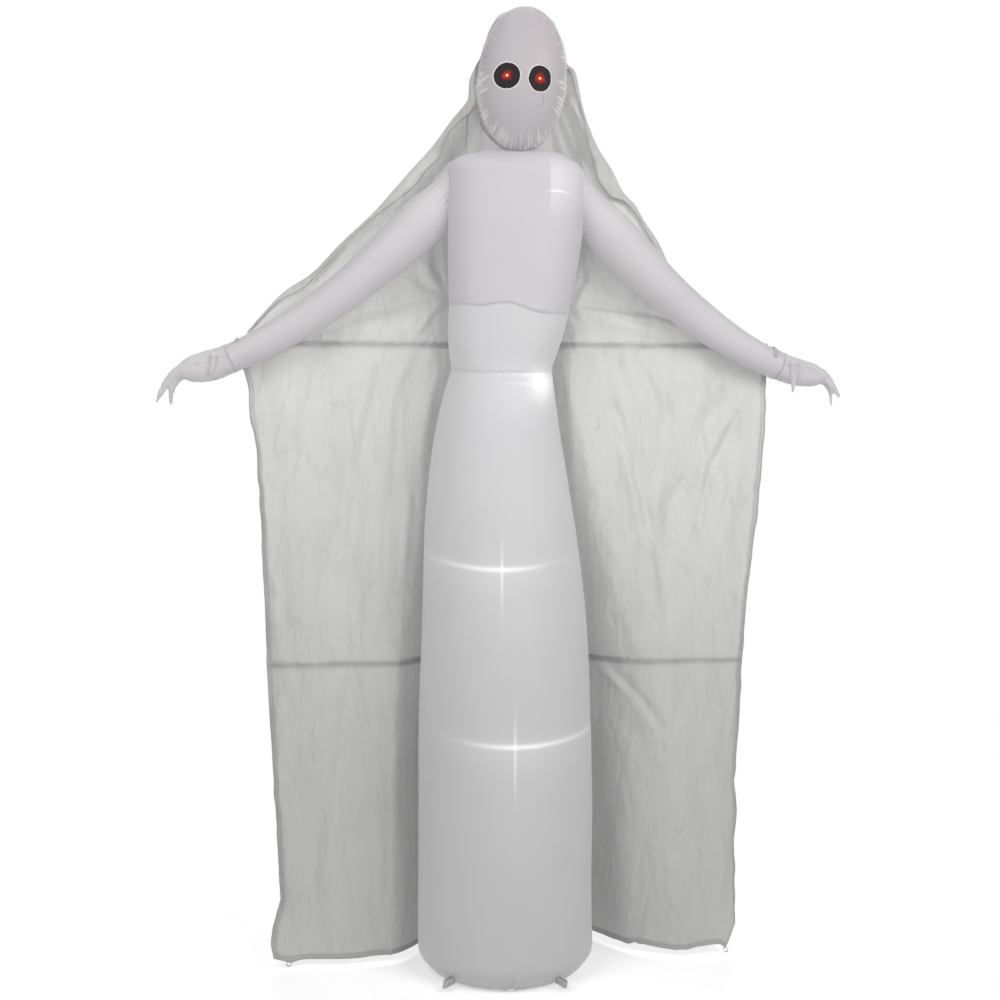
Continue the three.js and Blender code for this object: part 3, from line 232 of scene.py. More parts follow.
def body_halves(z):
    z = np.asarray(z, float)
    taper = (BASE_RADIUS - WAIST_RADIUS) * clamp(z / WAIST) ** TAPER
    low = np.clip(BASE_CORNER - z, 0, BASE_CORNER)
    turn = BASE_CORNER - np.sqrt(BASE_CORNER ** 2 - low ** 2)
    column = BASE_RADIUS - taper - turn
    band = 1 - (1 - clamp((z - WAIST) / (CHEST - WAIST))) ** 2
    rise = 1 - (1 - clamp((z - CHEST) / (SHOULDER - CHEST))) ** 2
    top = 1 - clamp((z - SHOULDER) / (NECK_SEAT - SHOULDER)) ** SHOULDER_POWER
    parts = [z <= WAIST, z <= CHEST, z <= SHOULDER]
    chest_x = mix(CHEST_LOW, CHEST_WIDE, rise)
    half_x = np.select(
        parts, [column, mix(WAIST_RADIUS, CHEST_LOW, band), chest_x], mix(NECK_WIDE + 12, CHEST_WIDE, top)
    )
    half_y = np.select(
        parts,
        [column, mix(WAIST_RADIUS, CHEST_DEEP, band), CHEST_DEEP + 0 * z],
        mix(NECK_DEEP + 12, CHEST_DEEP, top),
    )
    power = np.select(parts, [2 + 0 * z, mix(2, CHEST_SQUARE, band), CHEST_SQUARE + 0 * z], CHEST_SQUARE)
    return half_x, half_y, power


def shoulder_lift(x, z):
    """Height that the tilt of the shoulders adds outside the neck's seat."""
    seat = NECK_WIDE + 12
    outer = clamp((np.abs(x) - seat) / (CHEST_WIDE - seat))
    return -np.sign(x) * SHOULDER_TILT * outer * ease((z - CHEST) / (SHOULDER - CHEST))


def arm_full_radius(t):
    return ARM_WRIST + (ARM_UPPER - ARM_WRIST) * clamp(1 - t) ** ARM_TAPER


def arm_radius(t):
    return arm_full_radius(t) - ARM_PINCH * bell(np.maximum(t, 0), PINCH_REACH)


def arm_root(side):
    return float(body_shift(SHOULDER)) + side["sign"] * CHEST_WIDE


def arm_out(side, t):
    return 2 * (1 - t) * t * side["elbow"][0] + t * t * side["reach"]


def arm_height(side, t):
    return SHOULDER - side["hole"] - 2 * (1 - t) * t * side["elbow"][1] - t * t * side["drop"]


def arm_frame(side, t):
    """Place of an arm's middle line with its directions along, across and up."""
    heading = math.radians(side["yaw"])
    outward = Vector((side["sign"] * math.cos(heading), -math.sin(heading), 0))
    centre = Vector((arm_root(side), 0, arm_height(side, t))) + outward * arm_out(side, t)
    tiny = 1e-3
    rise = arm_height(side, t + tiny) - arm_height(side, t)
    run = arm_out(side, t + tiny) - arm_out(side, t)
    along = (outward * run + Vector((0, 0, rise))).normalized()
    across = Vector((0, 0, 1)).cross(outward).normalized()
    up = -along.cross(across)
    if up.z < 0:
        up.negate()
    return centre, along, across, up, outward


def head_frame():
    place = Matrix.Translation(HEAD_PLACE)
    yaw = Matrix.Rotation(math.radians(HEAD_YAW), 4, "Z")
    return place @ yaw @ Matrix.Rotation(math.radians(HEAD_ROLL), 4, "Y")


def cape_depth(x, z):
    """Distance to the back of the cape's face over every place seen from the front."""
    half_x, half_y, _ = body_halves(np.clip(z, BASE_CORNER, SHOULDER))
    low = clamp(1 - z / CHEST)
    hood = ease((z - NECK_SEAT) / (HOOD_SIDE - NECK_SEAT))
    head_x = HEAD_PLACE[0]
    middle = mix(body_shift(z), head_x, hood)
    half = mix(half_x, HEAD_WIDE, hood)
    crown = HOOD_CROWN * clamp((z - HEAD_PLACE[2]) / HEAD_UP)
    head_back = mix(GUSSET, HEAD_DEEP, np.sqrt(1 - crown ** 2)) + HEAD_PLACE[1]
    back = mix(half_y + mix(CLEAR_HIGH, CLEAR_LOW, low), head_back + HOOD_CLEAR, hood)
    is_left = x < middle

    def pick(name):
        return np.where(is_left, name("left"), name("right"))

    spread_low = pick(lambda n: SPREAD[n])
    slack = pick(lambda n: SLACK[n])
    sign = pick(lambda n: SIDES[n]["sign"])
    reach = pick(lambda n: SIDES[n]["reach"])
    yaw = np.radians(pick(lambda n: SIDES[n]["yaw"]))
    spread = mix(mix(SPREAD["high"], spread_low, low), slack, hood)
    start = WRAP_START * half
    behind = 1 - ease((np.abs(x - middle) - start) / (half + spread - start))
    out = np.maximum(sign * (x - pick(lambda n: arm_root(SIDES[n]))), 0)
    share = np.minimum(out / (reach * np.cos(yaw)), 1)
    arm_back = arm_full_radius(share) + ARM_CLEAR
    lean = CORNER_FORWARD * clamp(1 - z / UPPER_SEAM) * (x / HEM_RIGHT) ** 2
    on_arm = -out * np.tan(yaw) + mix(arm_back, ARM_WRIST + ARM_CLEAR, ease(low)) - lean
    flank = mix(on_arm, np.minimum(HOOD_FORWARD, back), hood)
    wave = 0.5 + 0.5 * np.sin(2 * math.pi * (x + FOLD_SLANT * z) / FOLD_PITCH)
    fall = ease((SHOULDER - z) / (SHOULDER - LOWER_SEAM))
    folds = FOLD_DEPTH * wave * mix(FOLD_AT_SHOULDER, 1, fall) * (1 - hood)
    return mix(flank, back, behind) + folds


# Making meshes
def new_object(name, mesh):
    obj = bpy.data.objects.new(name, mesh)
    bpy.context.scene.collection.objects.link(obj)
    return obj


def grid_object(name, points, closed=False, flip=False, seam=None, tone=None, skip=None):
    """A smooth surface over a grid of points. seam is each point's distance from a stitched line, and
    tone how much it is darkened. skip marks the faces that are left out."""
    rows, columns = points.shape[:2]
    index = np.arange(rows * columns).reshape(rows, columns)
    right = np.roll(index, -1, 1) if closed else index[:, 1:]
    left = index if closed else index[:, :-1]
    faces = np.stack([left[:-1], right[:-1], right[1:], left[1:]], axis=-1)
    across = np.linalg.norm(np.diff(points, axis=1, append=points[:, :1]), axis=2)
    down = np.linalg.norm(np.diff(points, axis=0, prepend=points[:1]), axis=2)
    u = np.concatenate([np.zeros((rows, 1)), np.cumsum(across, axis=1)], axis=1)
    v = np.cumsum(down, axis=0)
    u = np.median(u, axis=0)[None, :].repeat(rows, 0)
    v = np.median(v, axis=1)[:, None].repeat(columns + 1, 1)
    uv = np.stack([u, v], axis=-1)
    span = columns if closed else columns - 1
    corner = np.stack(
        [uv[:-1, :span], uv[:-1, 1:span + 1], uv[1:, 1:span + 1], uv[1:, :span]], axis=-2
    )
    faces, corner = faces.reshape(-1, 4), corner.reshape(-1, 4, 2)
    if skip is not None:
        keep = ~skip.reshape(-1)
        faces, corner = faces[keep], corner[keep]
    if flip:
        faces, corner = faces[:, ::-1], corner[:, ::-1]
    mesh = bpy.data.meshes.new(name)
    mesh.from_pydata((points.reshape(-1, 3) * MM).tolist(), [], faces.tolist())
    set_flat_map(mesh, corner * MM)
    if seam is not None:
        set_attribute(mesh, "seam", seam * MM)
    if tone is not None:
        set_attribute(mesh, "tone", tone)
    smooth(mesh)
    return new_object(name, mesh)


def set_attribute(mesh, name, values):
    data = mesh.attributes.new(name, "FLOAT", "POINT").data
    data.foreach_set("value", values.reshape(-1).astype(np.float32))


def set_flat_map(mesh, places):
    """Gives each face corner its place in metres on the flat cloth."""
    layer = mesh.uv_layers.new(name="cloth")
    layer.data.foreach_set("uv", places.reshape(-1).astype(np.float32))


def corner_points(mesh):
    """The index of the point at each face corner."""
    corners = np.zeros(len(mesh.loops), int)
    mesh.loops.foreach_get("vertex_index", corners)
    return corners


def smooth(mesh):
    mesh.polygons.foreach_set("use_smooth", [True] * len(mesh.polygons))
    mesh.update()


def mesh_object(name, points, faces, shade_smooth=False):
    mesh = bpy.data.meshes.new(name)
    mesh.from_pydata((np.asarray(points, float) * MM).tolist(), [], faces)
    if shade_smooth:
        smooth(mesh)
    else:
        mesh.update()
    return new_object(name, mesh)


def settle(obj, material, node=None):
    """Gives a piece its finish and its body, and hides the CAD node that it stands for."""
    obj.data.materials.clear()
    obj.data.materials.append(material)
    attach(obj, BODY)
    if node:
        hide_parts(node)
    return obj


def node_box(name):
    """A CAD node's low and high corners, in millimetres."""
    return [np.array(corner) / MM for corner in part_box(name)]


# Camera, at the photograph's height and distance
camera_data = bpy.data.cameras.new("camera")
camera_data.lens = 56.16
camera_data.sensor_width = 36
camera_data.shift_y = -0.05
camera_data.clip_end = 60
camera = new_object("camera", camera_data)
camera.location = (-0.019, -5.940, 1.971)
camera.rotation_euler = (math.pi / 2, 0, 0)
bpy.context.scene.camera = camera


# Materials
class Nodes:
    """The node tree of a new material or world, with short calls for the nodes used here."""

    def __init__(self, name, of_world=False):
        self.owner = (bpy.data.worlds if of_world else bpy.data.materials).new(name)
        self.owner.use_nodes = True
        self.tree = self.owner.node_tree
        self.shader = self.tree.nodes["Background" if of_world else "Principled BSDF"]
        self.output = self.tree.nodes["World Output" if of_world else "Material Output"]

    def node(self, kind, inputs=(), **settings):
        made = self.tree.nodes.new(kind)
        for key, value in settings.items():
            setattr(made, key, value)
        for key, value in dict(inputs).items():
            if isinstance(value, bpy.types.NodeSocket):
                self.tree.links.new(value, made.inputs[key])
            else:
                made.inputs[key].default_value = value
        return made

    def math(self, operation, *values):
        return self.node("ShaderNodeMath", enumerate(values), operation=operation).outputs[0]

    def vector(self, operation, *values):
        return self.node("ShaderNodeVectorMath", enumerate(values), operation=operation)

    def noise(self, coordinates, scale, detail=2.0, roughness=0.5):
        inputs = {"Vector": coordinates, "Scale": scale, "Detail": detail, "Roughness": roughness}
        return self.node("ShaderNodeTexNoise", inputs).outputs[0]

    def range(self, value, low, high, to_low=0.0, to_high=1.0):
        inputs = {"Value": value, "From Min": low, "From Max": high, "To Min": to_low, "To Max": to_high}
        return self.node("ShaderNodeMapRange", inputs, interpolation_type="SMOOTHSTEP").outputs[0]

    def blend(self, share, low, high, mode="MIX"):
        made = self.node("ShaderNodeMix", data_type="RGBA", blend_type=mode)
        for socket, value in (("Factor_Float", share), ("A_Color", low), ("B_Color", high)):
            target = next(s for s in made.inputs if s.identifier == socket)
            if isinstance(value, bpy.types.NodeSocket):
                self.tree.links.new(value, target)
            else:
                target.default_value = value
        return next(s for s in made.outputs if s.identifier == "Result_Color")

    def bump(self, height, distance, strength=0.5, **under):
        inputs = {"Strength": strength, "Distance": distance, "Height": height, **under}
        return self.node("ShaderNodeBump", inputs).outputs[0]

    def mix_in(self, share, other):
        """Shows a share of another shader over this one."""
        both = self.node("ShaderNodeMixShader", {0: share, 1: self.shader.outputs[0], 2: other.outputs[0]})
        self.tree.links.new(both.outputs[0], self.output.inputs["Surface"])

    def place(self):
        return self.node("ShaderNodeTexCoord").outputs["Object"]

    def attribute(self, name):
        return self.node("ShaderNodeAttribute", attribute_name=name).outputs["Fac"]

    def link(self, value, socket):
        self.tree.links.new(value, self.shader.inputs[socket])

    def set(self, **values):
        for key, value in values.items():
            self.shader.inputs[key.replace("_", " ")].default_value = value
        return self


def linear(red, green, blue):
    """A colour for the shader from its 0 to 255 values."""
    return tuple(((c / 255 + 0.055) / 1.055) ** 2.4 for c in (red, green, blue)) + (1.0,)


def darker(colour, share):
    return tuple(share * c for c in colour[:3]) + (1,)


def glow_strength(nodes, glows):
    """Light of the lamps inside that shows on the cloth in front of them. A glow is its middle (x, z),
    its widths to the left, right, up and down, its strength and how much it bends up at its ends."""
    axes = nodes.node("ShaderNodeSeparateXYZ", {0: nodes.place()}).outputs
    total = None
    for (x, z), (left, right, up, down), strength, bend in glows:
        dx = nodes.math("SUBTRACT", axes["X"], x * MM)
        curve = nodes.math("MULTIPLY", nodes.math("MULTIPLY", dx, dx), bend / MM)
        dz = nodes.math("SUBTRACT", nodes.math("SUBTRACT", axes["Z"], z * MM), curve)
        parts = []
        for value, before, after in ((dx, left, right), (dz, down, up)):
            low = nodes.math("DIVIDE", nodes.math("MINIMUM", value, 0.0), before * MM)
            high = nodes.math("DIVIDE", nodes.math("MAXIMUM", value, 0.0), after * MM)
            away = nodes.math("ADD", low, high)
            parts.append(nodes.math("MULTIPLY", away, away))
        fall = nodes.math("EXPONENT", nodes.math("MULTIPLY", nodes.math("ADD", *parts), -1.0))
        value = nodes.math("MULTIPLY", fall, strength)
        total = value if total is None else nodes.math("ADD", total, value)
    front = nodes.range(axes["Y"], 0.0, -0.06)
    return nodes.math("MULTIPLY", total, front)


def cloth(name, colour, shade, roughness=0.5, sheen=0.2, thin=0.2, crinkle=0.12, weave=0.12, glows=(),
          glow_colour=(1, 1, 1, 1), lit_within=0.0, painted_low_shade=0.0, creased=0.0):
    """Woven cloth: a fine weave, faint crinkles and mottling, and stitches along its seams. The tone
    attribute darkens it above 0, at seam lines where it lies double and where shade is painted, and
    lightens it below 0 as painted light and painted highlights. thin is the share of the light that
    passes through it, lit_within the even light of the lamps inside, painted_low_shade how much darker
    the cloth is painted toward the ground as painted shade, and creased the depth in metres of its sharp
    small creases, which run mostly up and down, and whose lines are darkened as painted shade."""
    nodes = Nodes(name)
    dark = darker(shade, 0.5)
    place = nodes.place()
    mottle = nodes.noise(place, 2.3, 3.0)
    base = nodes.blend(nodes.range(mottle, 0.3, 0.7), colour, shade)
    # Painted shade: the cloth is painted darker toward the ground.
    if painted_low_shade:
        height = nodes.node("ShaderNodeSeparateXYZ", {0: place}).outputs["Z"]
        base = nodes.blend(nodes.range(height, 2.1, 0.5, 0.0, 2 * painted_low_shade), base, dark)
    tone = nodes.attribute("tone")
    base = nodes.blend(tone, base, dark)
    base = nodes.blend(nodes.math("MULTIPLY", tone, -1.0), base, LIT_CLOTH)
    seam = nodes.math("ABSOLUTE", nodes.attribute("seam"))
    run = nodes.vector("DOT_PRODUCT", place, (620.0, 410.0, 680.0)).outputs["Value"]
    dash = nodes.range(nodes.math("SINE", nodes.math("MULTIPLY", run, 2.2)), -0.4, 0.0)
    stitch = nodes.math("MULTIPLY", nodes.range(seam, 0.0014, 0.0006), dash)
    base = nodes.blend(nodes.math("MULTIPLY", stitch, STITCH_TONE), base, dark)
    uv = nodes.node("ShaderNodeUVMap", uv_map="cloth").outputs[0]
    flat = nodes.node("ShaderNodeSeparateXYZ", {0: uv}).outputs
    warp, weft = (
        nodes.math("SINE", nodes.math("MULTIPLY", flat[axis], 2 * math.pi / THREAD_PITCH)) for axis in "XY"
    )
    woven = nodes.math("MULTIPLY", warp, weft)
    small = nodes.noise(place, 22.0, 4.0, 0.55)
    crinkled = nodes.math("MULTIPLY", small, crinkle * 10)
    height = nodes.math("ADD", crinkled, nodes.math("MULTIPLY", woven, weave))
    height = nodes.math("SUBTRACT", height, nodes.math("MULTIPLY", stitch, 1.2))
    bump = nodes.bump(height, 0.0008, 0.6)
    if creased:
        drape = nodes.vector("MULTIPLY", place, (1.0, 0.4, 0.34)).outputs[0]
        folds = [nodes.math("ABSOLUTE", nodes.math("SUBTRACT", nodes.noise(drape, scale, 3.0), 0.5))
                 for scale in (7.0, 19.0)]
        broad = nodes.math("ADD", folds[0], nodes.math("MULTIPLY", folds[1], 0.4))
        bump = nodes.bump(broad, creased, 1.0, Normal=bump)
        # Painted shade: the valleys of the small creases are darkened.
        painted_crease_shade = nodes.math("MULTIPLY", nodes.range(folds[0], 0.05, 0.0), nodes.range(folds[1], 0.0, 0.12))
        base = nodes.blend(nodes.math("MULTIPLY", painted_crease_shade, 0.22), base, darker(shade, 0.72))
    nodes.link(base, "Base Color")
    nodes.link(bump, "Normal")
    nodes.link(nodes.range(small, 0.2, 0.8, roughness - 0.05, roughness + 0.08), "Roughness")
    nodes.set(Sheen_Weight=sheen, Sheen_Roughness=0.4, Specular_IOR_Level=0.35)
    nodes.set(Emission_Color=glow_colour, Emission_Strength=lit_within)
    if glows:
        nodes.link(nodes.math("ADD", glow_strength(nodes, glows), lit_within), "Emission Strength")
    if thin:
        nodes.mix_in(thin, nodes.node("ShaderNodeBsdfTranslucent", {"Color": base, "Normal": bump}))
    return nodes.owner


def moulded(name, colour, roughness, grain=900.0, metal=0.0):
    """Plastic, metal or rubber with a fine grain."""
    nodes = Nodes(name)
    place = nodes.place()
    fine = nodes.noise(place, grain, 2.0)
    broad = nodes.noise(place, 14.0, 3.0)
    nodes.link(nodes.blend(broad, darker(colour, 0.82), colour), "Base Color")
    nodes.link(nodes.bump(fine, MOULDED_GRAIN), "Normal")
    nodes.link(nodes.range(fine, 0.2, 0.8, roughness - 0.06, roughness + 0.06), "Roughness")
    return nodes.set(Metallic=metal).owner


def lit(name, colour, strength):
    """A lamp's lens, lit evenly."""
    lens = {"Base_Color": colour, "Emission_Color": colour, "Emission_Strength": strength, "Roughness": 0.2}
    return Nodes(name).set(**lens).owner


COLUMN_GLOWS = [
    ((138, 2222), (46, 40, 44, 60), 0.45, 0),
    ((120, 2225), (150, 60, 70, 140), 0.12, 0),
    ((110, 2250), (110, 40, 7, 7), 0.16, 0),
    ((100, 2216), (110, 40, 6, 6), 0.10, 0),
    ((-12, 1537), (190, 130, 8, 8), 0.42, 5.6e-4),
    ((-12, 1537), (240, 170, 24, 70), 0.06, 5.6e-4),
    ((-12, 1530), (5, 5, 90, 130), 0.26, 0),
    ((-12, 1500), (150, 150, 120, 220), 0.035, 0),
    ((36, 899), (150, 250, 9, 9), 0.42, 4e-4),
    ((36, 899), (200, 270, 26, 80), 0.06, 4e-4),
    ((36, 895), (5, 5, 100, 160), 0.26, 0),
    ((36, 860), (160, 160, 130, 260), 0.035, 0),
]
CHEST_GLOWS = [
    ((172, 2990), (4, 150, 58, 90), 0.12, 0),
    ((174, 2890), (7, 90, 110, 44), 0.07, 0),
    ((190, 2930), (30, 44, 4, 4), 0.32, -3.5e-3),
]
FACE_GLOWS = [
    ((150, 3390), (60, 50, 150, 60), 0.035, 0),
    ((120, 3330), (70, 60, 60, 60), 0.02, 0),
]
skin = cloth(
    "body_cloth", linear(204, 204, 205), linear(199, 199, 201), glows=COLUMN_GLOWS,
    lit_within=0.17, painted_low_shade=0.16,
)
chest_skin = cloth(
    "chest_cloth", linear(203, 200, 202), linear(199, 196, 199), glows=CHEST_GLOWS,
    glow_colour=(0.95, 0.97, 1, 1), lit_within=0.13,
)
arm_skin = cloth("arm_cloth", linear(203, 200, 202), linear(198, 195, 198), sheen=0.05, lit_within=0.14)
face_skin = cloth(
    "face_cloth", linear(199, 194, 197), linear(194, 189, 193), roughness=0.4, sheen=0.1, glows=FACE_GLOWS,
    glow_colour=(1, 0.35, 0.35, 1),
)
cape_cloth = cloth(
    "cape_cloth", linear(213, 213, 212), linear(207, 207, 206), crinkle=0.2, painted_low_shade=0.2, creased=0.03,
)
band_cloth = cloth("band_cloth", linear(196, 195, 195), linear(190, 189, 189), thin=0.05)
eye_rim = cloth("eye_rim", linear(246, 243, 242), linear(240, 236, 236), thin=0)
webbing = cloth("webbing", linear(218, 217, 215), linear(206, 205, 203), thin=0, weave=0.9, crinkle=0.05)
canvas = cloth("canvas", linear(160, 157, 152), linear(146, 143, 138), thin=0, weave=0.5)
sandbag = cloth("sandbag", linear(172, 166, 152), linear(152, 144, 130), thin=0, weave=0.8, roughness=0.75)
plastic = moulded("plastic", linear(44, 45, 47), 0.48)
steel = moulded("steel", linear(186, 187, 189), 0.34, grain=260.0, metal=1.0)
brass = moulded("brass", linear(186, 152, 84), 0.4, grain=500.0, metal=1.0)
sheath = moulded("sheath", linear(226, 223, 218), 0.5, grain=300.0)
pod_lens = lit("pod_lens", linear(255, 246, 226), 2.0)
eye_lens = lit("eye_lens", linear(255, 205, 105), 1.6)


# Body column, waist band and chest
def body_grid(heights, sides):
    """Points around the blown body, with the angle and height of each."""
    angle = around(sides)[None, :]
    z = np.asarray(heights, float)[:, None]
    half_x, half_y, power = body_halves(z)
    x, y = rounded(angle, half_x, half_y, power)
    lift = shoulder_lift(x, z)
    z = z + 0 * x
    x = x + body_shift(z)
    y = y + NECK_BACK * clamp((z - SHOULDER) / (NECK_SEAT - SHOULDER))
    angle = angle + 0 * x
    # The seams at the waist and the chest hang lower at the front
    front = ease((0.3 - np.sin(angle)) / 0.6)
    chest_sag = 10 * bell(x + 90, 45) + 36 * ease((x - 5) / 140)
    sag = 21 * bell(z - WAIST, 130) * clamp(-np.sin(angle)) + chest_sag * bell(z - CHEST, 120) * front
    return np.stack([x, y, z + lift - sag], axis=-1), angle, z


def body_relief(angle, z, seed):
    """How far the cloth stands out: soft unrest, drawn-in seams and the puckers beside them."""
    arc = turned(angle) * BODY_ARC
    out = 2.2 * unrest(arc, z, 230, 330, seed) + 0.9 * unrest(arc, z, 90, 120, seed + 1)
    for line, strength, reach in ((WAIST, 3.4, 80), (CHEST, 2.6, 60), (NECK_SEAT, 2.2, 40), (0, 6.5, 110)):
        away = np.abs(z - line)
        patchy = 0.55 + 0.45 * unrest(arc, 0 * arc, 150, 50, seed + 4)
        out += strength * patchy * gathers(arc, away, 26, reach, seed + 5) - 3 * bell(away, 5)
    return out


def body_pieces():
    foot = BASE_CORNER * np.array([0, 0.01, 0.03, 0.06, 0.1, 0.15, 0.21, 0.28, 0.36, 0.46, 0.58, 0.72, 0.86])
    near_waist = [-40, -32, -25, -19, -14, -10, -7, -4.5, -2.5, -0.6]
    column = [*foot, *spaced(BASE_CORNER, WAIST - 52, 13), *(WAIST + np.array(near_waist))]
    after = -np.array(near_waist[::-1])
    band = [*(WAIST + after), *spaced(WAIST + 52, CHEST - 52, 11), *(CHEST + np.array(near_waist))]
    rounding = SHOULDER + (NECK_SEAT - SHOULDER) * np.array(
        [0.12, 0.25, 0.38, 0.5, 0.6, 0.7, 0.78, 0.84, 0.89, 0.93, 0.96, 0.985, 1]
    )
    chest = [*(CHEST + after), *spaced(CHEST + 52, SHOULDER, 11), *rounding]
    for name, heights, material, node, lines in (
        ("body_column", column, skin, "lower_body", (WAIST,)),
        ("waist_band_cloth", band, skin, "waist_band", (WAIST, CHEST)),
        ("chest_cloth", chest, chest_skin, "chest", (CHEST,)),
    ):
        points, angle, z = body_grid(heights, BODY_SIDES)
        relief = body_relief(angle, z, 11)
        seam = np.min([np.abs(z - line) for line in lines], axis=0) - SEAM_STITCH
        tone = 0.16 * bell(seam + SEAM_STITCH, 5)
        if name == "body_column":
            relief += bottom_puckers(points, z)
        if name == "chest_cloth":
            relief += chest_wrinkles(points)
            # Painted highlight: the chest is painted lighter along its two sides.
            tone = tone - 0.35 * sum(bell(angle - side, 0.09) for side in (0, math.pi, 2 * math.pi))
        points = raised(points, relief)
        points[..., 2] = np.maximum(points[..., 2], 0.5)
        skip = None
        if name == "body_column":
            points, skip = fan_opening(points)
        obj = grid_object(name, points, closed=True, seam=seam, tone=tone, skip=skip)
        settle(obj, material, node)


def bottom_puckers(points, z):
    """The foot's full lower edge, and the gathers at its front where the body's seam ends."""
    near = bell(points[..., 0] - 25, 60) * (points[..., 1] < 0) * bell(z, 60)
    return 10 * bell(z - 34, 34) + 7 * near * unrest(points[..., 0], z, 13, 200, 5)


def chest_wrinkles(points):
    """Short pulls that run in from the armholes."""
    x, y, z = points[..., 0], points[..., 1], points[..., 2]
    front = clamp(-y / 60)
    out = 0
    for path, width, depth in (
        ([(-205, 2840), (-140, 2868)], 8, 2.5),
        ([(-208, 2815), (-150, 2822)], 8, 2.5),
        ([(295, 2832), (246, 2862)], 6, 6),
        ([(288, 2818), (256, 2836)], 5, 5),
        ([(280, 2890), (240, 2905)], 6, 3),
        ([(-200, 2535), (-110, 2552)], 10, 2.5),
        ([(90, 2500), (170, 2490)], 9, 3),
        ([(-214, 3060), (-222, 2960), (-212, 2870)], 5, 5),
        ([(296, 3010), (300, 2930), (296, 2870)], 5, 5),
    ):
        out = out - crease(x, z, path, width, depth)
    return out * front


def fan_opening(points):
    """Leaves the faces at the fan out and draws the hole's edge round."""
    x, y, z = points[..., 0], points[..., 1], points[..., 2]
    away = np.hypot(x, z - FAN_HEIGHT)
    inside = (away < FAN_HOLE) & (y > 0)
    right = np.roll(inside, -1, 1)
    skip = inside[:-1] & right[:-1] & right[1:] & inside[1:]
    used = np.zeros(inside.shape, bool)
    for kept in (~skip, np.roll(~skip, 1, 1)):
        used[:-1] |= kept
        used[1:] |= kept
    edge = inside & used
    stretch = np.where(edge, FAN_HOLE / np.maximum(away, 1), 1)
    points = points.copy()
    points[..., 0] = x * stretch
    points[..., 2] = FAN_HEIGHT + (z - FAN_HEIGHT) * stretch
    return points, skip


def neck_piece():
    heights = spaced(0, 1, 1 / 26)[:, None]
    angle = around(120)[None, :]
    neck_x = float(body_shift(NECK_SEAT))
    half_x, half_y = NECK_WIDE - 12 * heights, NECK_DEEP - 12 * heights
    x, y = rounded(angle, half_x, half_y, 2)
    z = NECK_SEAT + NECK_HEIGHT * heights + 0 * x
    points = np.stack([x + neck_x, y + NECK_BACK, z], axis=-1)
    arc, near = turned(angle) * NECK_ARC + 0 * z, z - NECK_SEAT
    relief = 4 * gathers(arc, near, 18, 60, 31) + 2 * unrest(arc, z, 60, 90, 32)
    points = raised(points, relief)
    tone = 0.15 * bell(near, 5)
    obj = grid_object("neck_cloth", points, closed=True, seam=near - SEAM_STITCH, tone=tone)
    settle(obj, arm_skin, "neck")


# Head
def head_points(depths, sides):
    angle = around(sides)[None, :]
    depth = np.asarray(depths, float)[:, None]
    past = clamp((np.abs(depth) - GUSSET) / (HEAD_DEEP - GUSSET))
    share = np.maximum(np.sqrt(1 - past * past), 0.002)
    upright = np.where(np.sin(angle) > 0, HEAD_UP, HEAD_DOWN)
    x, z = rounded(angle, HEAD_WIDE * share, upright * share, HEAD_SQUARE)
    return np.stack([x, depth + 0 * x, z], axis=-1), angle + 0 * x, past + 0 * x


def head_world(points):
    flat = points.reshape(-1, 3)
    matrix = np.array(head_frame())
    return (flat @ matrix[:3, :3].T + matrix[:3, 3]).reshape(points.shape)


def face_depth(x, z):
    """The face's own depth in the head's frame, over a place seen from its front."""
    upright = np.where(z > 0, HEAD_UP, HEAD_DOWN)
    level = (np.abs(x / HEAD_WIDE) ** HEAD_SQUARE + np.abs(z / upright) ** HEAD_SQUARE) ** (1 / HEAD_SQUARE)
    return -(GUSSET + (HEAD_DEEP - GUSSET) * np.sqrt(np.maximum(1 - level ** 2, 0)))


WIRE = [(70, -56), (76, -70), (79, -84), (73, -99), (55, -109)]
DART = [(5, 281), (6, 262), (15, 190)]


def rim_share(angle):
    """How hard the head's front seam is gathered: least over the crown and at the chin's middle."""
    rise, is_right = np.sin(angle), np.cos(angle) > 0
    start = np.where(is_right, 0.62, 0.22)
    return (0.12 + 0.88 * ease((start - rise) / 0.35)) * (1 - 0.6 * bell(rise + 1, 0.06))


